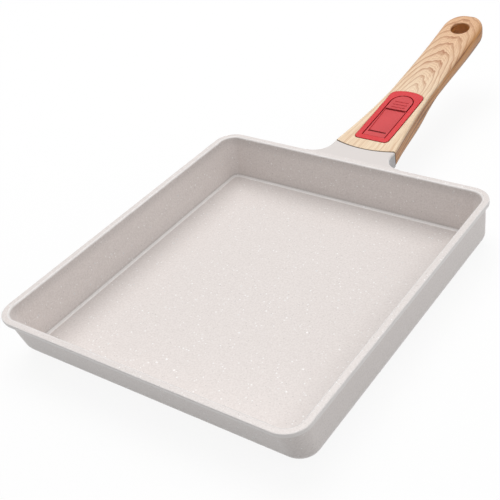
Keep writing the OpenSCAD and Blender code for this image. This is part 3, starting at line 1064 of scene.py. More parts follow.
@dataclass(frozen=True)
class WoodLook(Finish):
    """Printed wood grain on a moulded grip: nested arches on top, long brown streaks on the flanks."""

    name: str = "wood_look"
    roughness: float = 0.42
    cream: Colour = (0.95, 0.79, 0.575)
    tan: Colour = (0.80, 0.470, 0.250)
    honey: Colour = (0.62, 0.330, 0.150)
    dark: Colour = (0.38, 0.130, 0.040)
    flank: Colour = (0.66, 0.300, 0.085)
    # Dark brown of the flank streaks, also the colour of the painted shade on faces that point down.
    flank_streak_and_shade: Colour = (0.20, 0.058, 0.012)
    heart_u: float = 0.056
    dive: float = 0.27
    ring: float = 0.0026
    fine_rings: float = 4.0
    fine_strength: float = 0.42
    wobble: float = 0.0044
    pore_strength: float = 0.22
    bump: float = 1.5e-5

    def dress(self, sheet: NodeSheet, shader: bpy.types.Node, vector: Socket) -> None:
        """Lays rings, streaks and pores over a base that goes from cream at the joint to tan, with painted
        shade where it faces down.

        Args:
            sheet: The material's sheet.
            shader: The material's shader.
            vector: Place on the piece, in its own frame.
        """
        placed = Effects.place(sheet, Effects.handle_place(), vector=vector)
        along, across, depth = (placed[label] for label in ("Along", "Across", "Depth"))
        spot = Ground(along, across, depth, sheet.joined(across, along, depth))
        facing = sheet.parts(sheet.direction())
        sideways = sheet.span(sheet.maths("ABSOLUTE", facing["Y"]), 0.35, 0.8, 1.0, 0.15)
        bold, fine = self._rings(sheet, spot)
        colour = self._top(sheet, spot, bold, fine)
        low = sheet.span(depth, -0.0006, -0.0022, smooth=True)
        colour = sheet.blend(low, colour, self._flank(sheet, spot, sideways))
        # Painted shade on the faces that point downwards.
        underside_shade = sheet.span(facing["Z"], 0.0, -0.7, 0.0, 0.6)
        colour = sheet.blend(underside_shade, colour, self.flank_streak_and_shade)
        pores = sheet.span(self._streaks(sheet, spot, 0.035, 3400.0, 1.0), 0.58, 0.72)
        pores = sheet.times(pores, sideways)
        colour = sheet.blend(sheet.times(pores, self.pore_strength), colour, self.dark)
        sheet.put(shader.inputs["Base Color"], colour)
        self.raise_bump(sheet, shader, sheet.minus(0.0, sheet.plus(bold, pores)), self.bump)

    @staticmethod
    def _streaks(sheet: NodeSheet, spot: Ground, stretch: float, per_m: float, detail: float,
                 roughness: float = 0.5) -> Socket:
        """Gives a noise drawn out along the handle.

        Args:
            sheet: The material's sheet.
            spot: Place on the handle.
            stretch: Scale along the handle, against 1 across it.
            per_m: Scale across the handle, per metre.
            detail: Detail of the noise.
            roughness: How strong the finer detail is.

        Returns:
            The noise value.
        """
        return sheet.noise(sheet.stretched(spot.joined, (1.0, stretch, 1.0)), per_m, detail, roughness)

    def _top(self, sheet: NodeSheet, spot: Ground, bold: Socket, fine: Socket) -> Socket:
        """Gives the top's colour, with its rings, and darker beside the hang hole.

        Args:
            sheet: The material's sheet.
            spot: Place on the handle.
            bold: Mask of the bold rings.
            fine: Mask of the fine rings.

        Returns:
            The colour.
        """
        tone = self._streaks(sheet, spot, 0.10, 120.0, 2.0)
        toward_tail = sheet.span(spot.along, 0.070, 0.145, 0.0, 0.75)
        aged = sheet.plus(toward_tail, sheet.span(tone, 0.3, 0.7, 0.0, 0.25))
        colour = sheet.blend(aged, self.cream, self.tan)
        streak = self._streaks(sheet, spot, 0.02, 1500.0, 3.0, 0.65)
        colour = sheet.blend(sheet.span(streak, 0.42, 0.72, 0.0, 0.55), colour, self.honey)
        strength = sheet.times(sheet.span(spot.along, 0.050, 0.095, 0.25, 0.95),
                               sheet.span(tone, 0.25, 0.6, 0.55, 1.0))
        fine_share = sheet.times(fine, sheet.times(strength, self.fine_strength))
        colour = sheet.blend(fine_share, colour, self.dark)
        colour = sheet.blend(sheet.times(bold, strength), colour, self.dark)
        tail_side = sheet.times(sheet.span(spot.across, 0.003, 0.012),
                                sheet.span(spot.along, 0.09, 0.14, 0.0, 0.45))
        return sheet.blend(tail_side, colour, self.honey)

    def _flank(self, sheet: NodeSheet, spot: Ground, sideways: Socket) -> Socket:
        """Gives the sides' colour, with long streaks that fade where the surface faces along the handle.

        Args:
            sheet: The material's sheet.
            spot: Place on the handle.
            sideways: What the streaks are weakened by.

        Returns:
            The colour.
        """
        grain = self._streaks(sheet, spot, 0.025, 650.0, 4.0, 0.6)
        streaked = sheet.times(sheet.span(grain, 0.44, 0.60, 0.0, 0.9), sideways)
        return sheet.blend(streaked, self.flank, self.flank_streak_and_shade)

    def _rings(self, sheet: NodeSheet, spot: Ground) -> tuple[Socket, Socket]:
        """Draws bold and fine rings round an axis that dives under the top, so that they show as arches.

        Args:
            sheet: The material's sheet.
            spot: Place on the handle.

        Returns:
            The masks of the bold and the fine rings.
        """
        wander = self._streaks(sheet, spot, 0.30, 120.0, 2.0)
        wobble = sheet.times(sheet.minus(wander, 0.5), self.wobble)
        past_heart = sheet.most(sheet.minus(spot.along, self.heart_u), 0.0)
        rise = sheet.minus(spot.depth, sheet.times(past_heart, self.dive))
        side = sheet.plus(spot.across, sheet.times(wobble, 0.6))
        square = sheet.plus(sheet.times(side, side), sheet.times(rise, rise))
        radius = sheet.plus(sheet.maths("SQRT", square), wobble)
        turns = sheet.maths("DIVIDE", radius, self.ring)
        turn = sheet.maths("FRACT", turns)
        late = sheet.maths("POWER", sheet.span(turn, 0.42, 0.88), 1.8)
        bold = sheet.times(late, sheet.span(turn, 0.88, 1.0, 1.0, 0.0))
        turn = sheet.maths("FRACT", sheet.times(turns, self.fine_rings))
        fine = sheet.times(sheet.span(turn, 0.3, 0.75), sheet.span(turn, 0.8, 1.0, 1.0, 0.0))
        return bold, fine


@dataclass(frozen=True)
class Moulding(Finish):
    """A plain moulded colour with a fine grained surface and a little variation."""

    name: str = "red_moulding"
    roughness: float = 0.33
    colour: Colour = (0.74, 0.020, 0.028)
    shade: Colour = (0.66, 0.016, 0.022)
    grain: float = 0.0004
    depth: float = 1.2e-5
    shine: float = 0.38

    def dress(self, sheet: NodeSheet, shader: bpy.types.Node, vector: Socket) -> None:
        """Varies the colour over the piece and grains the surface.

        Args:
            sheet: The material's sheet.
            shader: The material's shader.
            vector: Place on the piece, in its own frame.
        """
        relief = Effects.place(sheet, Effects.fine_relief(), vector=vector, grain=self.grain)
        shader.inputs["Specular IOR Level"].default_value = self.shine
        patch = sheet.span(relief["Patch"], 0.3, 0.7)
        sheet.put(shader.inputs["Base Color"], sheet.blend(patch, self.colour, self.shade))
        sheet.put(shader.inputs["Roughness"], self.varied_roughness(sheet, relief["Height"], 0.04, 0.06))
        self.raise_bump(sheet, shader, relief["Height"], self.depth)


@dataclass(frozen=True)
class BrushedSteel(Finish):
    """Brushed or plated steel with fine lines along X."""

    name: str = "brushed_steel"
    roughness: float = 0.32
    colour: Colour = (0.62, 0.62, 0.63)
    shade: Colour = (0.50, 0.50, 0.51)
    pitch: float = 0.0005
    bump: float = 6e-6

    def dress(self, sheet: NodeSheet, shader: bpy.types.Node, vector: Socket) -> None:
        """Varies colour and roughness along the brushed lines.

        Args:
            sheet: The material's sheet.
            shader: The material's shader.
            vector: Place on the piece, in its own frame.
        """
        shader.inputs["Metallic"].default_value = 1.0
        lines = Effects.place(sheet, Effects.brushed_lines(), vector=vector, pitch=self.pitch)["Line"]
        tone = sheet.blend(sheet.span(lines, 0.3, 0.7), self.colour, self.shade)
        sheet.put(shader.inputs["Base Color"], tone)
        sheet.put(shader.inputs["Roughness"], self.varied_roughness(sheet, lines, 0.06, 0.10))
        self.raise_bump(sheet, shader, lines, self.bump)


@dataclass(frozen=True)
class InlaidMoulding(Moulding):
    """A moulded colour with painted shade inside its grooves and on its steep sides."""

    # Colour of the painted shade inside the grooves and on the steep sides.
    groove: Colour = (0.24, 0.005, 0.009)
    groove_shade_from: float = -0.00052
    groove_shade_full: float = -0.00070
    steep_side_shade: float = 0.9

    def dress(self, sheet: NodeSheet, shader: bpy.types.Node, vector: Socket) -> None:
        """Dresses it as a plain moulding, with the painted shade of the grooves and steep sides laid over.

        Args:
            sheet: The material's sheet.
            shader: The material's shader.
            vector: Place on the piece, in its own frame.
        """
        super().dress(sheet, shader, vector)
        plain = shader.inputs["Base Color"].links[0].from_socket
        depth = Effects.place(sheet, Effects.handle_place(), vector=vector)["Depth"]
        # Painted shade below the grip's top and on the steep sides.
        sunk_shade = sheet.span(depth, self.groove_shade_from, self.groove_shade_full)
        steep_shade = sheet.span(sheet.parts(sheet.direction())["Z"], 0.80, 0.35, 0.0, self.steep_side_shade)
        sheet.put(shader.inputs["Base Color"], sheet.blend(sheet.most(sunk_shade, steep_shade), plain, self.groove))


RED_PLASTIC = InlaidMoulding()
RED_SILICONE = InlaidMoulding("red_silicone", 0.55, (0.68, 0.062, 0.068), (0.60, 0.050, 0.056),
                              0.0003, 2e-5, steep_side_shade=0.35)
GASKET_RUBBER = Moulding("gasket_rubber", 0.6, (0.045, 0.040, 0.040), (0.030, 0.028, 0.028), 0.0003, 1e-5)
PLATED_STEEL = BrushedSteel("plated_steel", 0.28, (0.70, 0.70, 0.71), (0.60, 0.60, 0.61), 0.0002)


@dataclass(frozen=True)
class HandleLine:
    """The course of the handle: where it starts, how its top rises and how its sections change."""

    joint_y: float = 0.1188
    seat_r: float = 0.060
    seat_sides: int = 256
    rim_z: float = 0.030
    neck_w: float = 0.042
    neck_h: float = 0.0113
    start_slope: float = 0.086
    tip_rise: float = 0.0238
    length: float = 0.1585
    waist_w: float = 0.0285
    tail_w: float = 0.0288
    narrow_l: float = 0.060
    narrow_power: float = 1.4
    grip_step: float = 0.0005
    belly_t: float = 0.017
    belly_at: float = 0.046
    hollow_t: float = 0.0126
    hollow_at: float = 0.081
    tail_t: float = 0.015
    top_r: float = 0.0012
    top_tail_r: float = 0.004
    low_r: float = 0.002
    low_tail_r: float = 0.008
    tip_top: float = 0.55
    tip_low: float = 0.6

    @property
    def seat_y(self) -> float:
        """Centre of the curved joint face, along Y."""
        return self.joint_y + self.seat_r

    @property
    def sag(self) -> float:
        """How far the joint face's sides lie behind its middle."""
        return self.seat_r - math.sqrt(self.seat_r**2 - self.neck_w**2 / 4)

    @property
    def bend(self) -> float:
        """How strongly the top curves upwards."""
        return (self.tip_rise - self.start_slope * self.length) / self.length**2

    def top(self, y: float) -> float:
        """Height of the grip's top at the place y."""
        u = y - self.joint_y
        return self.rim_z + self.start_slope * u + self.bend * max(u, 0.0) ** 2

    def thickness(self, u: float) -> float:
        """Thickness of the grip at the distance u behind the joint.

        Args:
            u: Distance behind the joint.

        Returns:
            The thickness there.
        """
        if u < self.belly_at:
            return ease(self.neck_h - self.grip_step, self.belly_t,
                        (u - self.sag) / (self.belly_at - self.sag))
        if u < self.hollow_at:
            return ease(self.belly_t, self.hollow_t, (u - self.belly_at) / (self.hollow_at - self.belly_at))
        return ease(self.hollow_t, self.tail_t,
                    (u - self.hollow_at) / (self.length - self.hollow_at - self.tail_w / 2))

    def half_width(self, u: float) -> float:
        """Half the width of the grip at the distance u behind the joint.

        Args:
            u: Distance behind the joint.

        Returns:
            Half the width there.
        """
        behind = u - self.sag
        if behind < self.narrow_l:
            share = (1 - max(behind, 0.0) / self.narrow_l) ** self.narrow_power
            return (self.waist_w + (self.neck_w - self.waist_w) * share) / 2
        tail = (behind - self.narrow_l) / (self.length - self.narrow_l - self.tail_w)
        return ease(self.waist_w, self.tail_w, tail) / 2

    def section(self, u: float, drawn_in: float = 0.0) -> Section:
        """Gives the grip's section at a distance behind the joint.

        Args:
            u: Distance behind the joint's middle.
            drawn_in: How far the section is drawn in round the tip, from 0 to almost 1.

        Returns:
            The section.
        """
        size = math.sqrt(1 - drawn_in**2)
        top = self.top(self.joint_y + u)
        tail = (u - self.belly_at) / (self.length - self.belly_at - self.tail_w)
        return Section(
            y=self.joint_y + u,
            half=self.half_width(u) * size,
            top=top - self.top_tail_r * self.tip_top * (1 - size),
            low=top - self.thickness(u) + self.low_tail_r * self.tip_low * (1 - size),
            top_r=ease(self.top_r, self.top_tail_r, tail) * size,
            low_r=ease(self.low_r, self.low_tail_r, u / self.belly_at) * size,
        )


@dataclass(frozen=True)
class Tang:
    """The flat tongue of the casting inside the grip, and the screw that holds it."""

    line: HandleLine = field(default_factory=HandleLine)
    width: float = 0.024
    thickness: float = 0.0048
    length: float = 0.035
    up: float = 0.0027
    root: float = 0.0069
    edge_r: float = 0.0008
    gap: float = 0.00025
    screw_at: float = 0.027
    screw_r: float = 0.00275
    recess_r: float = 0.0053
    seat: float = 0.002

    def bar(self, name: str, gap: float) -> Bar:
        """Builds the tang, or with a gap the hollow that it fits into.

        Args:
            name: Name of the object.
            gap: Distance by which it is larger all round.

        Returns:
            The new piece.
        """
        angle = math.atan(self.line.start_slope)
        base = self.line.rim_z - self.line.neck_h + self.up
        sections = []
        for u in (-self.root - gap, self.length * math.cos(angle) + gap):
            low = base + u * self.line.start_slope - gap
            top = low + self.thickness / math.cos(angle) + 2 * gap
            sections.append(Section(self.line.joint_y + u, self.width / 2 + gap, top, low,
                                    self.edge_r, self.edge_r))
        return Bar.through(name, sections)


@dataclass
class Casting:
    """The cast tub with its flat-topped rim, neck and tang."""

    line: HandleLine = field(default_factory=HandleLine)
    tang: Tang = field(default_factory=Tang)
    rim_l: float = 0.210
    rim_w: float = 0.188
    height: float = 0.030
    wall: float = 0.0024
    wall_more: float = 0.0036
    floor: float = 0.0024
    side_lean: float = 0.0004
    front_lean: float = 0.0088
    corner_r: float = 0.013
    foot_r: float = 0.011
    bottom_r: float = 0.008
    floor_r: float = 0.0018
    rim_flat: float = 0.0032
    rim_inner_r: float = 0.0012
    rim_t: float = 0.0033
    rim_edge_r: float = 0.0008
    under_r: float = 0.00084
    stand: float = 0.0003
    plate_t: float = 0.0008
    plate_margin: float = 0.0035
    plate_gap: float = 0.0001
    plate_r: float = 0.0055
    flare_r: float = 0.012
    neck_wall: float = 0.003
    neck_hollow: float = 0.0023
    hollow_r: float = 0.001
    joint_extra: float = 0.001
    gasket: float = 0.0009
    skin: float = 0.00001
    corner_steps: int = 14

    def build(self) -> bpy.types.Object:
        """Models the whole casting and dresses it.

        Returns:
            The dressed casting.
        """
        tub = self._tub()
        tub.combine(self._neck(), Combine.JOIN)
        tub.combine(self.tang.bar("tang", 0.0), Combine.JOIN)
        tub.combine(self._plate_recess(), Combine.CUT)
        for side in (-1, 1):
            tub.combine(self._neck_pocket(side), Combine.CUT)
        tub.combine(self._tang_hole(), Combine.CUT)
        return tub.finish(GraniteCoating(), "pan_coating", "pan_body")

    @property
    def rim_in(self) -> float:
        """Inset of the inner wall at the rim."""
        return self.rim_flat + self.rim_inner_r

    @property
    def overhang(self) -> float:
        """Inset of the outer wall at the rim."""
        return self.rim_in - self.wall

    @property
    def floor_z(self) -> float:
        """Height of the cooking surface."""
        return self.plate_t + self.floor

    def _outside(self) -> list[Point]:
        """Outline from the rim's outer face down the outside to the flat bottom.

        Returns:
            The points in order, each as inset and height.
        """
        low = self.height - self.rim_t
        return [
            *arc((self.rim_edge_r, low + self.rim_edge_r), self.rim_edge_r, 180, 270, 5)[1:],
            *arc((self.overhang - self.under_r, low - self.under_r), self.under_r, 90, 0, 5),
            *arc((self.overhang + self.bottom_r, self.stand + self.bottom_r), self.bottom_r, 180, 270, 10),
        ]

    def _inside(self) -> list[Point]:
        """Outline from the rim's outer face over the top and down the inside to the floor.

        Returns:
            The points in order, each as inset and height.
        """
        lean = math.atan(self.wall_more / (self.height - self.floor_z))
        turn = math.degrees(lean)
        foot = self.rim_in + self.wall_more + self.floor_r * math.tan(math.pi / 4 - lean / 2)
        return [
            *arc((self.rim_edge_r, self.height - self.rim_edge_r), self.rim_edge_r, 180, 90, 5)[1:],
            *arc((self.rim_flat, self.height - self.rim_inner_r), self.rim_inner_r, 90, turn, 7),
            *arc((foot, self.floor_z + self.floor_r), self.floor_r, 180 + turn, 270, 7),
        ]

    def _tub(self) -> Sculpt:
        """Models the tub from one rounded face, inset step by step along both outlines.

        Returns:
            The new piece.
        """
        start_z = self.height - self.rim_t + self.rim_edge_r
        tub = Sculpt.plane("pan_casting", (self.rim_w, self.rim_l), (0, 0, start_z))
        with tub.editing():
            bpy.ops.mesh.select_all(action="SELECT")
            tub.bevel(self.corner_r, self.corner_steps, corners=True)
            bpy.ops.mesh.select_all(action="SELECT")
            tub.extrude(0, 0, self.rim_t - 2 * self.rim_edge_r)
            tub.tidy()
            self._follow(tub, self._outside(), up=-1)
            self._follow(tub, self._inside(), up=1)
            tub.tidy()
            self._lean(tub)
        return tub

    @staticmethod
    def _follow(tub: Sculpt, outline: Sequence[Point], up: int) -> None:
        """Insets the tub's highest or lowest face from point to point of an outline.

        Args:
            tub: The piece, in edit mode.
            outline: The points, as (inset, height).
            up: 1 for the highest face, -1 for the lowest one.
        """
        inset, height = 0.0, tub.pick_cap(up)
        for next_inset, next_height in outline:
            tub.inset(next_inset - inset, (next_height - height) * up)
            inset, height = next_inset, next_height

    def _lean(self, tub: Sculpt) -> None:
        """Moves each level's four corners inwards by the walls' lean, and resizes them for the foot.

        Args:
            tub: The tub, in edit mode.
        """
        groups: dict[tuple[float, int, int], set[int]] = {}
        spans: dict[tuple[float, int, int], list[Point]] = {}
        for vertex in bmesh.from_edit_mesh(tub.obj.data).verts:
            x, y, z = vertex.co
            key = (round(z, 6), 1 if x > 0 else -1, 1 if y > 0 else -1)
            groups.setdefault(key, set()).add(vertex.index)
            spans.setdefault(key, []).append((abs(x), abs(y)))
        for key, members in groups.items():
            z, side, end = key
            share = (self.height - z) / (self.height - self.stand)
            lean = self.side_lean if end > 0 else self.front_lean
            middle = [min(place[axis] for place in spans[key]) for axis in (0, 1)]
            radius = max(place[0] for place in spans[key]) - middle[0]
            grow = (self.foot_r + self.overhang - self.corner_r) * share
            size = 1 + grow / radius
            tub.pick_members(members)
            centre = (side * middle[0], end * middle[1], z)
            bpy.ops.transform.resize(value=(size, size, 1), center_override=centre)
            tub.move(-side * (self.side_lean * share + grow), -end * (lean * share + grow), 0)

    def _neck(self) -> Sculpt:
        """Models the neck, flared along the rim, with its curved joint face.

        Returns:
            The new piece.
        """
        rim_y = self.rim_l / 2
        top = self.height - self.skin
        low = self.height - self.line.neck_h
        wide = self.line.neck_w / 2 + self.flare_r
        root_y = rim_y - self.overhang - (self.wall + self.side_lean * self.line.neck_h / self.height) / 2
        end_y = self.line.joint_y + self.line.sag + self.joint_extra

        def cut(y: float, half: float, upper: float) -> Section:
            """Gives the neck's section at one place along Y."""
            return Section(y, half, upper, low, self.line.top_r, self.line.low_r)

        sections = [cut(root_y, wide, top - self.rim_inner_r / 2), cut(rim_y - self.rim_flat, wide, top)]
        for y, half in arc((rim_y + self.flare_r, wide), self.flare_r, 180, 270, 16):
            sections.append(cut(y, half, top))
        if end_y - sections[-1].y > NEAR:
            sections.append(cut(end_y, sections[-1].half, top))
        neck = Bar.through("neck", sections)
        seat = Sculpt.drum("seat", self.line.seat_r + self.gasket, 4 * self.line.neck_h,
                           (0, self.line.seat_y, low), self.line.seat_sides)
        return neck.combine(seat, Combine.CUT)

    def _plate_recess(self) -> Sculpt:
        """Models the shallow space that the base plate lies in.

        Returns:
            The new piece.
        """
        inset = self.overhang + self.bottom_r + self.plate_margin - self.plate_gap
        back = self.rim_l / 2 - self.side_lean - inset
        front = self.rim_l / 2 - self.front_lean - inset
        width = self.rim_w - 2 * (self.side_lean + inset)
        recess = Sculpt.plane("plate_recess", (width, back + front), (0, (back - front) / 2, -self.plate_t))
        with recess.editing():
            bpy.ops.mesh.select_all(action="SELECT")
            recess.bevel(self.plate_r + self.plate_gap, 10, corners=True)
            bpy.ops.mesh.select_all(action="SELECT")
            recess.extrude(0, 0, 2 * self.plate_t)
            recess.tidy()
        return recess

    def _neck_pocket(self, side: int) -> Sculpt:
        """Models one of the two hollows under the neck.

        Args:
            side: 1 for the right and -1 for the left.

        Returns:
            The new piece.
        """
        half = (self.line.neck_w - 3 * self.neck_wall) / 2
        length = self.line.joint_y - self.rim_l / 2 - self.gasket - self.neck_wall
        low = self.height - self.line.neck_h
        middle = (side * (half + self.neck_wall) / 2, self.rim_l / 2 + length / 2, low)
        pocket = Sculpt.block("neck_pocket", (half, length, 2 * self.neck_hollow), middle)
        with pocket.editing():
            pocket.pick_edges(lambda a, b: abs(a.x - b.x) < NEAR and abs(a.y - b.y) < NEAR)
            pocket.bevel(self.hollow_r, 4)
        return pocket

    def _tang_hole(self) -> Sculpt:
        """Models the screw's hole in the tang.

        Returns:
            The new piece.
        """
        y = self.line.joint_y + self.tang.screw_at
        z = self.line.rim_z - self.line.neck_h + self.tang.up + self.tang.thickness
        return Sculpt.drum("tang_hole", self.tang.screw_r, 4 * self.tang.thickness, (0, y, z), sides=32)


@dataclass
class ThumbRest:
    """The red frame in the grip's top and the softer pad inside it."""

    line: HandleLine = field(default_factory=HandleLine)
    width: float = 0.024
    length: float = 0.0556
    at: float = 0.0094
    corner_r: float = 0.0032
    rear_r: float = 0.0054
    arch: float = 0.0032
    depth: float = 0.002
    proud: float = 0.0003
    gap: float = 0.0002
    pad_w: float = 0.0162
    pad_at: float = 0.0044
    pad_back: float = 0.0052
    groove: float = 0.0005
    pad_gap: float = 0.0001
    pad_floor: float = 0.0008
    pad_sunk: float = 0.0007
    lip: float = 0.004
    lip_sunk: float = 0.00015
    dome: float = 0.0158
    dome_sunk: float = 0.0001
    rim_front: float = 0.0015
    rim_rear: float = 0.0006
    divider_w: float = 0.0006
    divider_deep: float = 0.0004
    front_groove: float = 0.0022
    rib_l: float = 0.0096
    rib_w: float = 0.0013
    rib_h: float = 0.00035
    rib_count: int = 3
    rib_end: float = 0.45
    rib_round: float = 0.8
    edge_r: float = 0.0004
    pad_edge_r: float = 0.00025
    chamfer: float = 0.00025
    cutter_above: float = 0.002
    arch_steps: int = 10
    row: float = 0.004

    @property
    def front_y(self) -> float:
        """Place of the frame's front edge."""
        return self.line.joint_y + self.at

    def _rows(self, front: float, back: float) -> list[float]:
        """Places of the cuts that let a flat piece follow the grip's bend."""
        count = max(int((back - front) / self.row), 2)
        return [front + (back - front) * i / count for i in range(1, count)]

    def _outline(self, name: str, grow: float, z: float) -> Sculpt:
        """Draws the frame's outline as a flat face.

        Args:
            name: Name of the object.
            grow: Distance by which the outline is larger all round.
            z: Height of the face above the grip's top.

        Returns:
            The face, as a piece.
        """
        half = self.width / 2
        arch_r = (half**2 + self.arch**2) / (2 * self.arch) + grow
        half += grow
        front = self.front_y - grow
        back = self.front_y + self.length - self.arch
        face = Sculpt.plane(name, (2 * half, back - front), (0, (front + back) / 2, z))
        base = math.sqrt(arch_r**2 - half**2)
        crown = arch_r - (self.arch + grow)
        steps = self.arch_steps
        with face.editing():
            face.pick_edges(lambda a, b: min(a.y, b.y) > back - NEAR)
            bpy.ops.mesh.subdivide(number_cuts=steps - 1)
            for i in range(steps + 1):
                x = half * (2 * i / steps - 1)
                face.pick_points(lambda co: abs(co.x - x) < NEAR and co.y > back - NEAR)
                face.move(0, math.sqrt(max(arch_r**2 - x**2, base**2)) - crown, 0)
            rear_angle = 90.0 + math.degrees(math.asin(half / arch_r))
            for end, angle, radius in ((-1, 90.0, self.corner_r), (1, rear_angle, self.rear_r)):
                width = (radius + grow) / math.tan(math.radians(angle / 2))
                face.pick_points(
                    lambda co: abs(abs(co.x) - half) < NEAR and (co.y - front - half) * end > 0
                )
                face.bevel(width, 8, corners=True)
        return face

    def _pad_outline(self, name: str, inset: float, front_gap: float, z: float) -> Sculpt:
        """Draws the pad's outline, square in front and round at the rear, as a flat face.

        Args:
            name: Name of the object.
            inset: Distance from the pad's sides and rear.
            front_gap: Distance from its front.
            z: Height of the face.

        Returns:
            The new piece.
        """
        half = self.pad_w / 2 - inset
        front = self.front_y + self.pad_at + front_gap
        back = self.front_y + self.length - self.pad_back - inset
        face = Sculpt.plane(name, (2 * half, back - front), (0, (front + back) / 2, z))
        with face.editing():
            face.pick_points(lambda co: co.y > back - NEAR)
            face.bevel(half, 16, corners=True)
            face.tidy()
        return face

    def pocket(self) -> Sculpt:
        """Models the space that the frame lies in, with a small chamfer at the grip's top.

        Returns:
            The new piece.
        """
        space = self._outline("frame_pocket", 0.0, -self.depth)
        with space.editing():
            bpy.ops.mesh.select_all(action="SELECT")
            space.extrude(0, 0, self.depth - self.chamfer)
            space.extrude(0, 0, self.cutter_above)
            grow = self.cutter_above / (self.width / 2)
            middle = (0, self.front_y + self.length / 2, 0)
            bpy.ops.transform.resize(value=(1 + grow, 1 + grow * self.width / self.length, 1),
                                     center_override=middle)
            space.tidy()
            space.slice_along_y(self._rows(self.front_y, self.front_y + self.length))
            space.drape(self.line.top)
        return space

    def _frame(self) -> Sculpt:
        """Models the frame with its opening and rounded edges.

        Returns:
            The new piece.
        """
        frame_piece = self._outline("thumb_rest_frame", -self.gap, -self.depth)
        with frame_piece.editing():
            bpy.ops.mesh.select_all(action="SELECT")
            frame_piece.extrude(0, 0, self.depth + self.proud)
            frame_piece.tidy()
        opening = self._pad_outline("opening", 0.0, 0.0, self.pad_floor - self.depth)
        with opening.editing():
            bpy.ops.mesh.select_all(action="SELECT")
            opening.extrude(0, 0, 2 * self.depth)
            opening.tidy()
        frame_piece.combine(opening, Combine.CUT)
        with frame_piece.editing():
            frame_piece.pick_edges(lambda a, b: min(a.z, b.z) > self.proud - NEAR)
            frame_piece.bevel(self.edge_r, 4)
            frame_piece.tidy()
            frame_piece.slice_along_y(self._rows(self.front_y, self.front_y + self.length))
            frame_piece.drape(self.line.top)
        return frame_piece

    def _pad(self) -> Sculpt:
        """Models the pad: front lip, sunk field between rims, raised rear field and round grip ribs.

        Returns:
            The new piece.
        """
        low = self.pad_floor - self.depth
        front = self.front_y + self.pad_at + self.pad_gap + self.lip
        rear = self.front_y + self.length - self.pad_back - self.dome
        pad = self._pad_outline("thumb_rest_pad", self.groove, self.pad_gap, low)
        lip_z = self.proud - self.lip_sunk
        with pad.editing():
            bpy.ops.mesh.select_all(action="SELECT")
            pad.extrude(0, 0, lip_z - low)
            pad.tidy()
            pad.slice_along_y([rear])
            pad.pick_faces(lambda co, normal: normal.z > 0.9 and co.y > rear)
            pad.extrude(0, 0, self.lip_sunk - self.dome_sunk)
            pad.tidy()
        pad.combine(self._field(front, rear), Combine.CUT)
        with pad.editing():
            pad.pick_edges(lambda a, b: min(a.z, b.z) > lip_z - NEAR and abs(a.z - b.z) < NEAR
                           and abs(a.y - b.y) + abs(a.x - b.x) > NEAR)
            pad.bevel(self.pad_edge_r, 3)
        for rib in self._ribs(rear):
            pad.combine(rib, Combine.JOIN)
        with pad.editing():
            pad.slice_along_y(self._rows(self.front_y + self.pad_at, rear + self.dome))
            pad.drape(self.line.top)
        return pad

    def _field(self, front: float, rear: float) -> Sculpt:
        """Models the space over the sunk field, with a deeper groove at its front and its rear.

        Args:
            front: Place of its front edge.
            rear: Place of its rear edge.

        Returns:
            The new piece.
        """
        half = self.pad_w / 2 - self.groove
        deep = self.proud - self.pad_sunk
        above = 4 * self.pad_sunk
        size = (2 * (half - self.rim_rear), rear - front, above)
        space = Sculpt.block("pad_field", size, (0, (front + rear) / 2, deep + above / 2))
        with space.editing():
            space.pick_points(lambda co: co.y < front + NEAR)
            narrow = (half - self.rim_front) / (half - self.rim_rear)
            bpy.ops.transform.resize(value=(narrow, 1, 1), center_override=(0, front, 0))
        for y, width, along in ((rear - self.divider_w / 2, size[0], self.divider_w),
                                (front + self.front_groove / 2, size[0] * narrow, self.front_groove)):
            centre = (0, y, deep - self.divider_deep + above / 2)
            space.combine(Sculpt.block("pad_divider", (width, along, above), centre), Combine.JOIN)
        return space

    def _ribs(self, rear: float) -> Iterator[Sculpt]:
        """Models the grip ribs across the raised rear field, each with a round top and round ends.

        Args:
            rear: Place where the raised rear field starts.

        Returns:
            The ribs, from front to rear.
        """
        pitch = (self.dome - self.pad_w / 4) / (self.rib_count + 1)
        top = self.proud - self.dome_sunk + self.rib_h
        for i in range(1, self.rib_count + 1):
            centre = (0, rear + i * pitch, top - 2 * self.rib_h)
            rib = Sculpt.block("rib", (self.rib_l, self.rib_w, 4 * self.rib_h), centre)
            with rib.editing():
                rib.pick_edges(lambda a, b: abs(a.x - b.x) < NEAR and abs(a.y - b.y) < NEAR)
                rib.bevel(self.rib_w * self.rib_end, 5)
                rib.pick_edges(lambda a, b: min(a.z, b.z) > top - NEAR)
                rib.bevel(self.rib_h * self.rib_round, 3)
            yield rib

    def build(self) -> None:
        """Models the frame and the pad and dresses them."""
        self._frame().finish(RED_PLASTIC, "frame_red", "thumb_frame")
        self._pad().finish(RED_SILICONE, "pad_red", "thumb_pad")


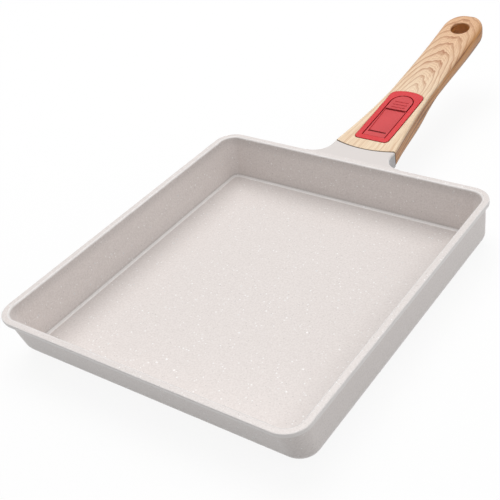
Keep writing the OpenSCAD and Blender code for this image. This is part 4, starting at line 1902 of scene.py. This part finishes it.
@dataclass
class Grip:
    """The moulded grip, cut for the joint, the tang, the thumb rest, the screw and the hook."""

    line: HandleLine = field(default_factory=HandleLine)
    tang: Tang = field(default_factory=Tang)
    rest: ThumbRest = field(default_factory=ThumbRest)
    hang_r: float = 0.0065
    hang_from_tip: float = 0.017
    hang_round: float = 0.0009
    start: float = -0.001
    stations: int = 34
    tip_steps: int = 10
    tip_turn: float = 82.0
    joint_cut: float = 0.03
    screw_step: float = 0.0003
    hang_steps: int = 5
    hang_extra: float = 0.004

    def build(self) -> bpy.types.Object:
        """Models the grip and dresses it.

        Returns:
            The dressed grip.
        """
        grip = self._body()
        grip.combine(self._joint_cutter(), Combine.CUT)
        grip.combine(self.tang.bar("socket", self.tang.gap), Combine.CUT)
        grip.combine(self.rest.pocket(), Combine.CUT)
        grip.combine(self._screw_recess(), Combine.CUT)
        grip.combine(self._hook_hole(), Combine.CUT)
        return grip.finish(WoodLook(), "handle_wood_look", "handle_grip", angle=32.0)

    def _body(self) -> Bar:
        """Models the whole grip from in front of the joint to its round tip.

        Returns:
            The new piece.
        """
        tip = self.line.tail_w / 2
        straight = self.line.length - tip - self.start
        places = [self.start + straight * i / self.stations for i in range(self.stations + 1)]
        sections = [self.line.section(place) for place in places]
        for i in range(1, self.tip_steps + 1):
            turn = math.sin(math.radians(self.tip_turn * i / self.tip_steps))
            sections.append(self.line.section(self.line.length - tip * (1 - turn), turn))
        return Bar.through("moulded_grip", sections)

    def _joint_cutter(self) -> Sculpt:
        """Models the space in front of the curved joint face.

        Returns:
            The new piece.
        """
        deep = self.joint_cut
        back = self.line.joint_y + 2 * self.line.sag
        front = self.line.joint_y - deep
        block = Sculpt.block("joint_cutter", (2 * self.line.neck_w, back - front, 4 * deep),
                             (0, (front + back) / 2, self.line.rim_z))
        centre = (0, self.line.seat_y, self.line.rim_z)
        drum = Sculpt.drum("joint_drum", self.line.seat_r, 8 * deep, centre, self.line.seat_sides)
        return block.combine(drum, Combine.CUT)

    def _screw_recess(self) -> Sculpt:
        """Models the stepped hole for the screw, its washer and its head.

        Returns:
            The new piece.
        """
        y = self.line.joint_y + self.tang.screw_at
        slope = self.line.start_slope
        socket = self.line.rim_z - self.line.neck_h + self.tang.up + self.tang.screw_at * slope
        seat = socket - self.tang.gap - self.tang.seat
        deep = 2 * self.line.belly_t
        recess = Sculpt.drum("screw_recess", self.tang.recess_r, deep, (0, y, seat - deep / 2), sides=48)
        with recess.editing():
            recess.pick_cap(1)
            recess.inset(self.tang.recess_r - self.tang.screw_r - self.screw_step, 0.0)
            recess.extrude(0, 0, 2 * self.tang.seat)
        return recess

    def _hook_hole(self) -> Sculpt:
        """Models the hang hole, square to the grip's top, with rounded mouths.

        Returns:
            The new piece.
        """
        y = self.line.joint_y + self.line.length - self.hang_from_tip
        u = self.line.length - self.hang_from_tip
        tilt = math.atan(self.line.start_slope + 2 * self.line.bend * u)
        depth = self.line.tail_t * math.cos(tilt)
        hole = Sculpt.drum("hook_hole", self.hang_r, depth - 2 * self.hang_round,
                           (0, 0, -depth / 2), sides=64)
        with hole.editing():
            for up in (1, -1):
                hole.pick_cap(up)
                radius = self.hang_r
                curve = arc((self.hang_r + self.hang_round, 0.0), self.hang_round, 180, 90, self.hang_steps)
                for (r0, z0), (r1, z1) in zip(curve, curve[1:]):
                    hole.extrude(0, 0, (z1 - z0) * up)
                    bpy.ops.transform.resize(value=(r1 / radius, r1 / radius, 1), center_override=(0, 0, 0))
                    radius = r1
                hole.extrude(0, 0, self.hang_extra * up)
            bpy.ops.mesh.select_all(action="SELECT")
            bpy.ops.transform.rotate(value=-tilt, orient_axis="X", center_override=(0, 0, 0))
            hole.move(0, y, self.line.top(y))
            hole.tidy()
        return hole


class SteelParts:
    """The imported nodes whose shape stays, with the finish of each."""

    finishes: dict[str, Finish] = {
        "base_plate": BrushedSteel(),
        "neck_gasket": GASKET_RUBBER,
        "handle_screw": PLATED_STEEL,
        "spring_washer": PLATED_STEEL,
    }

    def dress(self) -> None:
        """Gives each of the nodes its material."""
        for name, finish in self.finishes.items():
            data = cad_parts[name].data
            data.materials.clear()
            data.materials.append(finish.material())
            LOG.info("%s: dressed with %s", name, finish.name)


@dataclass(frozen=True)
class View:
    """The camera, as worked out from the pan's outline in the 500-pixel frame."""

    place: Place = (0.27573, -0.32896, 0.33401)
    azimuth: float = 38.036
    elevation: float = 33.871
    roll: float = -8.048
    focal_px: float = 978.95
    centre_px: Point = (276.94, 223.93)
    frame_px: float = 500.0
    sensor_mm: float = 36.0

    def create(self) -> None:
        """Makes the camera and sets it as the scene's."""
        az, el, roll = (math.radians(a) for a in (self.azimuth, self.elevation, self.roll))
        back = Vector((math.sin(az) * math.cos(el), -math.cos(az) * math.cos(el), math.sin(el)))
        right = Vector((math.cos(az), math.sin(az), 0.0))
        up = back.cross(right)
        turned_right = right * math.cos(roll) + up * math.sin(roll)
        turned_up = up * math.cos(roll) - right * math.sin(roll)
        data = bpy.data.cameras.new("camera")
        data.sensor_width = self.sensor_mm
        data.lens = self.focal_px * self.sensor_mm / self.frame_px
        data.shift_x = (self.frame_px / 2 - self.centre_px[0]) / self.frame_px
        data.shift_y = (self.centre_px[1] - self.frame_px / 2) / self.frame_px
        data.clip_start = 0.01
        camera = bpy.data.objects.new("camera", data)
        bpy.context.scene.collection.objects.link(camera)
        rows = [(turned_right[i], turned_up[i], back[i], self.place[i]) for i in range(3)]
        camera.matrix_world = Matrix((*rows, (0.0, 0.0, 0.0, 1.0)))
        bpy.context.scene.camera = camera


@dataclass(frozen=True)
class Lamp:
    """A soft rectangular lamp that looks at the pan."""

    name: str
    place: Place
    size: Point
    power: float
    aim: Place = (0.0, 0.04, 0.02)

    def create(self) -> None:
        """Makes the lamp."""
        data = bpy.data.lights.new(self.name, "AREA")
        data.shape = "RECTANGLE"
        data.size, data.size_y = self.size
        data.energy = self.power
        lamp = bpy.data.objects.new(self.name, data)
        bpy.context.scene.collection.objects.link(lamp)
        lamp.location = self.place
        lamp.rotation_euler = (Vector(self.place) - Vector(self.aim)).to_track_quat("Z", "Y").to_euler()


@dataclass(frozen=True)
class Studio:
    """A plain white floor under soft light."""

    floor_size: float = 6.0
    floor_colour: Colour = (1.0, 1.0, 1.0)
    bounce_colour: Colour = (0.55, 0.55, 0.55)
    floor_glow: float = 0.90
    ambient: float = 0.49
    lamps: tuple[Lamp, ...] = (
        Lamp("overhead", (-0.35, 0.35, 1.25), (1.1, 1.1), 11.6),
        Lamp("right", (1.20, 0.25, 0.75), (0.9, 0.7), 3.0),
    )

    def create(self) -> None:
        """Makes the floor, the lamps and the world."""
        bpy.context.scene.view_settings.view_transform = "Standard"
        self._floor()
        self._world()
        for lamp in self.lamps:
            lamp.create()

    def _floor(self) -> None:
        """Makes the floor: white and glowing where it is seen, and grey for the light that it bounces."""
        floor = Sculpt.plane("floor", (self.floor_size, self.floor_size), (0, 0, 0))
        material = bpy.data.materials.new("studio_floor")
        material.use_nodes = True
        sheet = NodeSheet(material.node_tree)
        seen = self._seen(sheet)
        matt = sheet.add("ShaderNodeBsdfDiffuse")
        sheet.put(matt.inputs["Color"], sheet.blend(seen, self.bounce_colour, self.floor_colour))
        glow = sheet.add("ShaderNodeEmission")
        mixed = sheet.add("ShaderNodeMixShader")
        fed = (sheet.times(seen, self.floor_glow), matt.outputs[0], glow.outputs[0])
        for socket, value in zip(mixed.inputs, fed):
            sheet.put(socket, value)
        sheet.put(sheet.add("ShaderNodeOutputMaterial").inputs["Surface"], mixed.outputs[0])
        floor.obj.data.materials.append(material)

    def _world(self) -> None:
        """Makes a dim even sky that shows white to the camera and in reflections."""
        world = bpy.data.worlds.new("studio")
        bpy.context.scene.world = world
        world.use_nodes = True
        sheet = NodeSheet(world.node_tree)
        sky = sheet.add("ShaderNodeBackground")
        sheet.put(sky.inputs["Strength"], sheet.span(self._seen(sheet), 0.0, 1.0, self.ambient, 1.0))
        sheet.put(sheet.add("ShaderNodeOutputWorld").inputs["Surface"], sky.outputs[0])

    @staticmethod
    def _seen(sheet: NodeSheet) -> Socket:
        """Gives 1 for the camera's, mirrored and see-through rays, and 0 for light on the pan.

        Args:
            sheet: The material's sheet.

        Returns:
            The value.
        """
        rays = sheet.add("ShaderNodeLightPath").outputs
        mirrored = sheet.most(rays["Is Glossy Ray"], rays["Is Transmission Ray"])
        return sheet.most(rays["Is Camera Ray"], mirrored)


def main() -> None:
    """Builds the studio and every sub-assembly in order."""
    logging.basicConfig(level=logging.INFO, format="%(name)s: %(message)s")
    View().create()
    Studio().create()
    Casting().build()
    Grip().build()
    ThumbRest().build()
    SteelParts().dress()


if __name__ == "__main__":
    main()
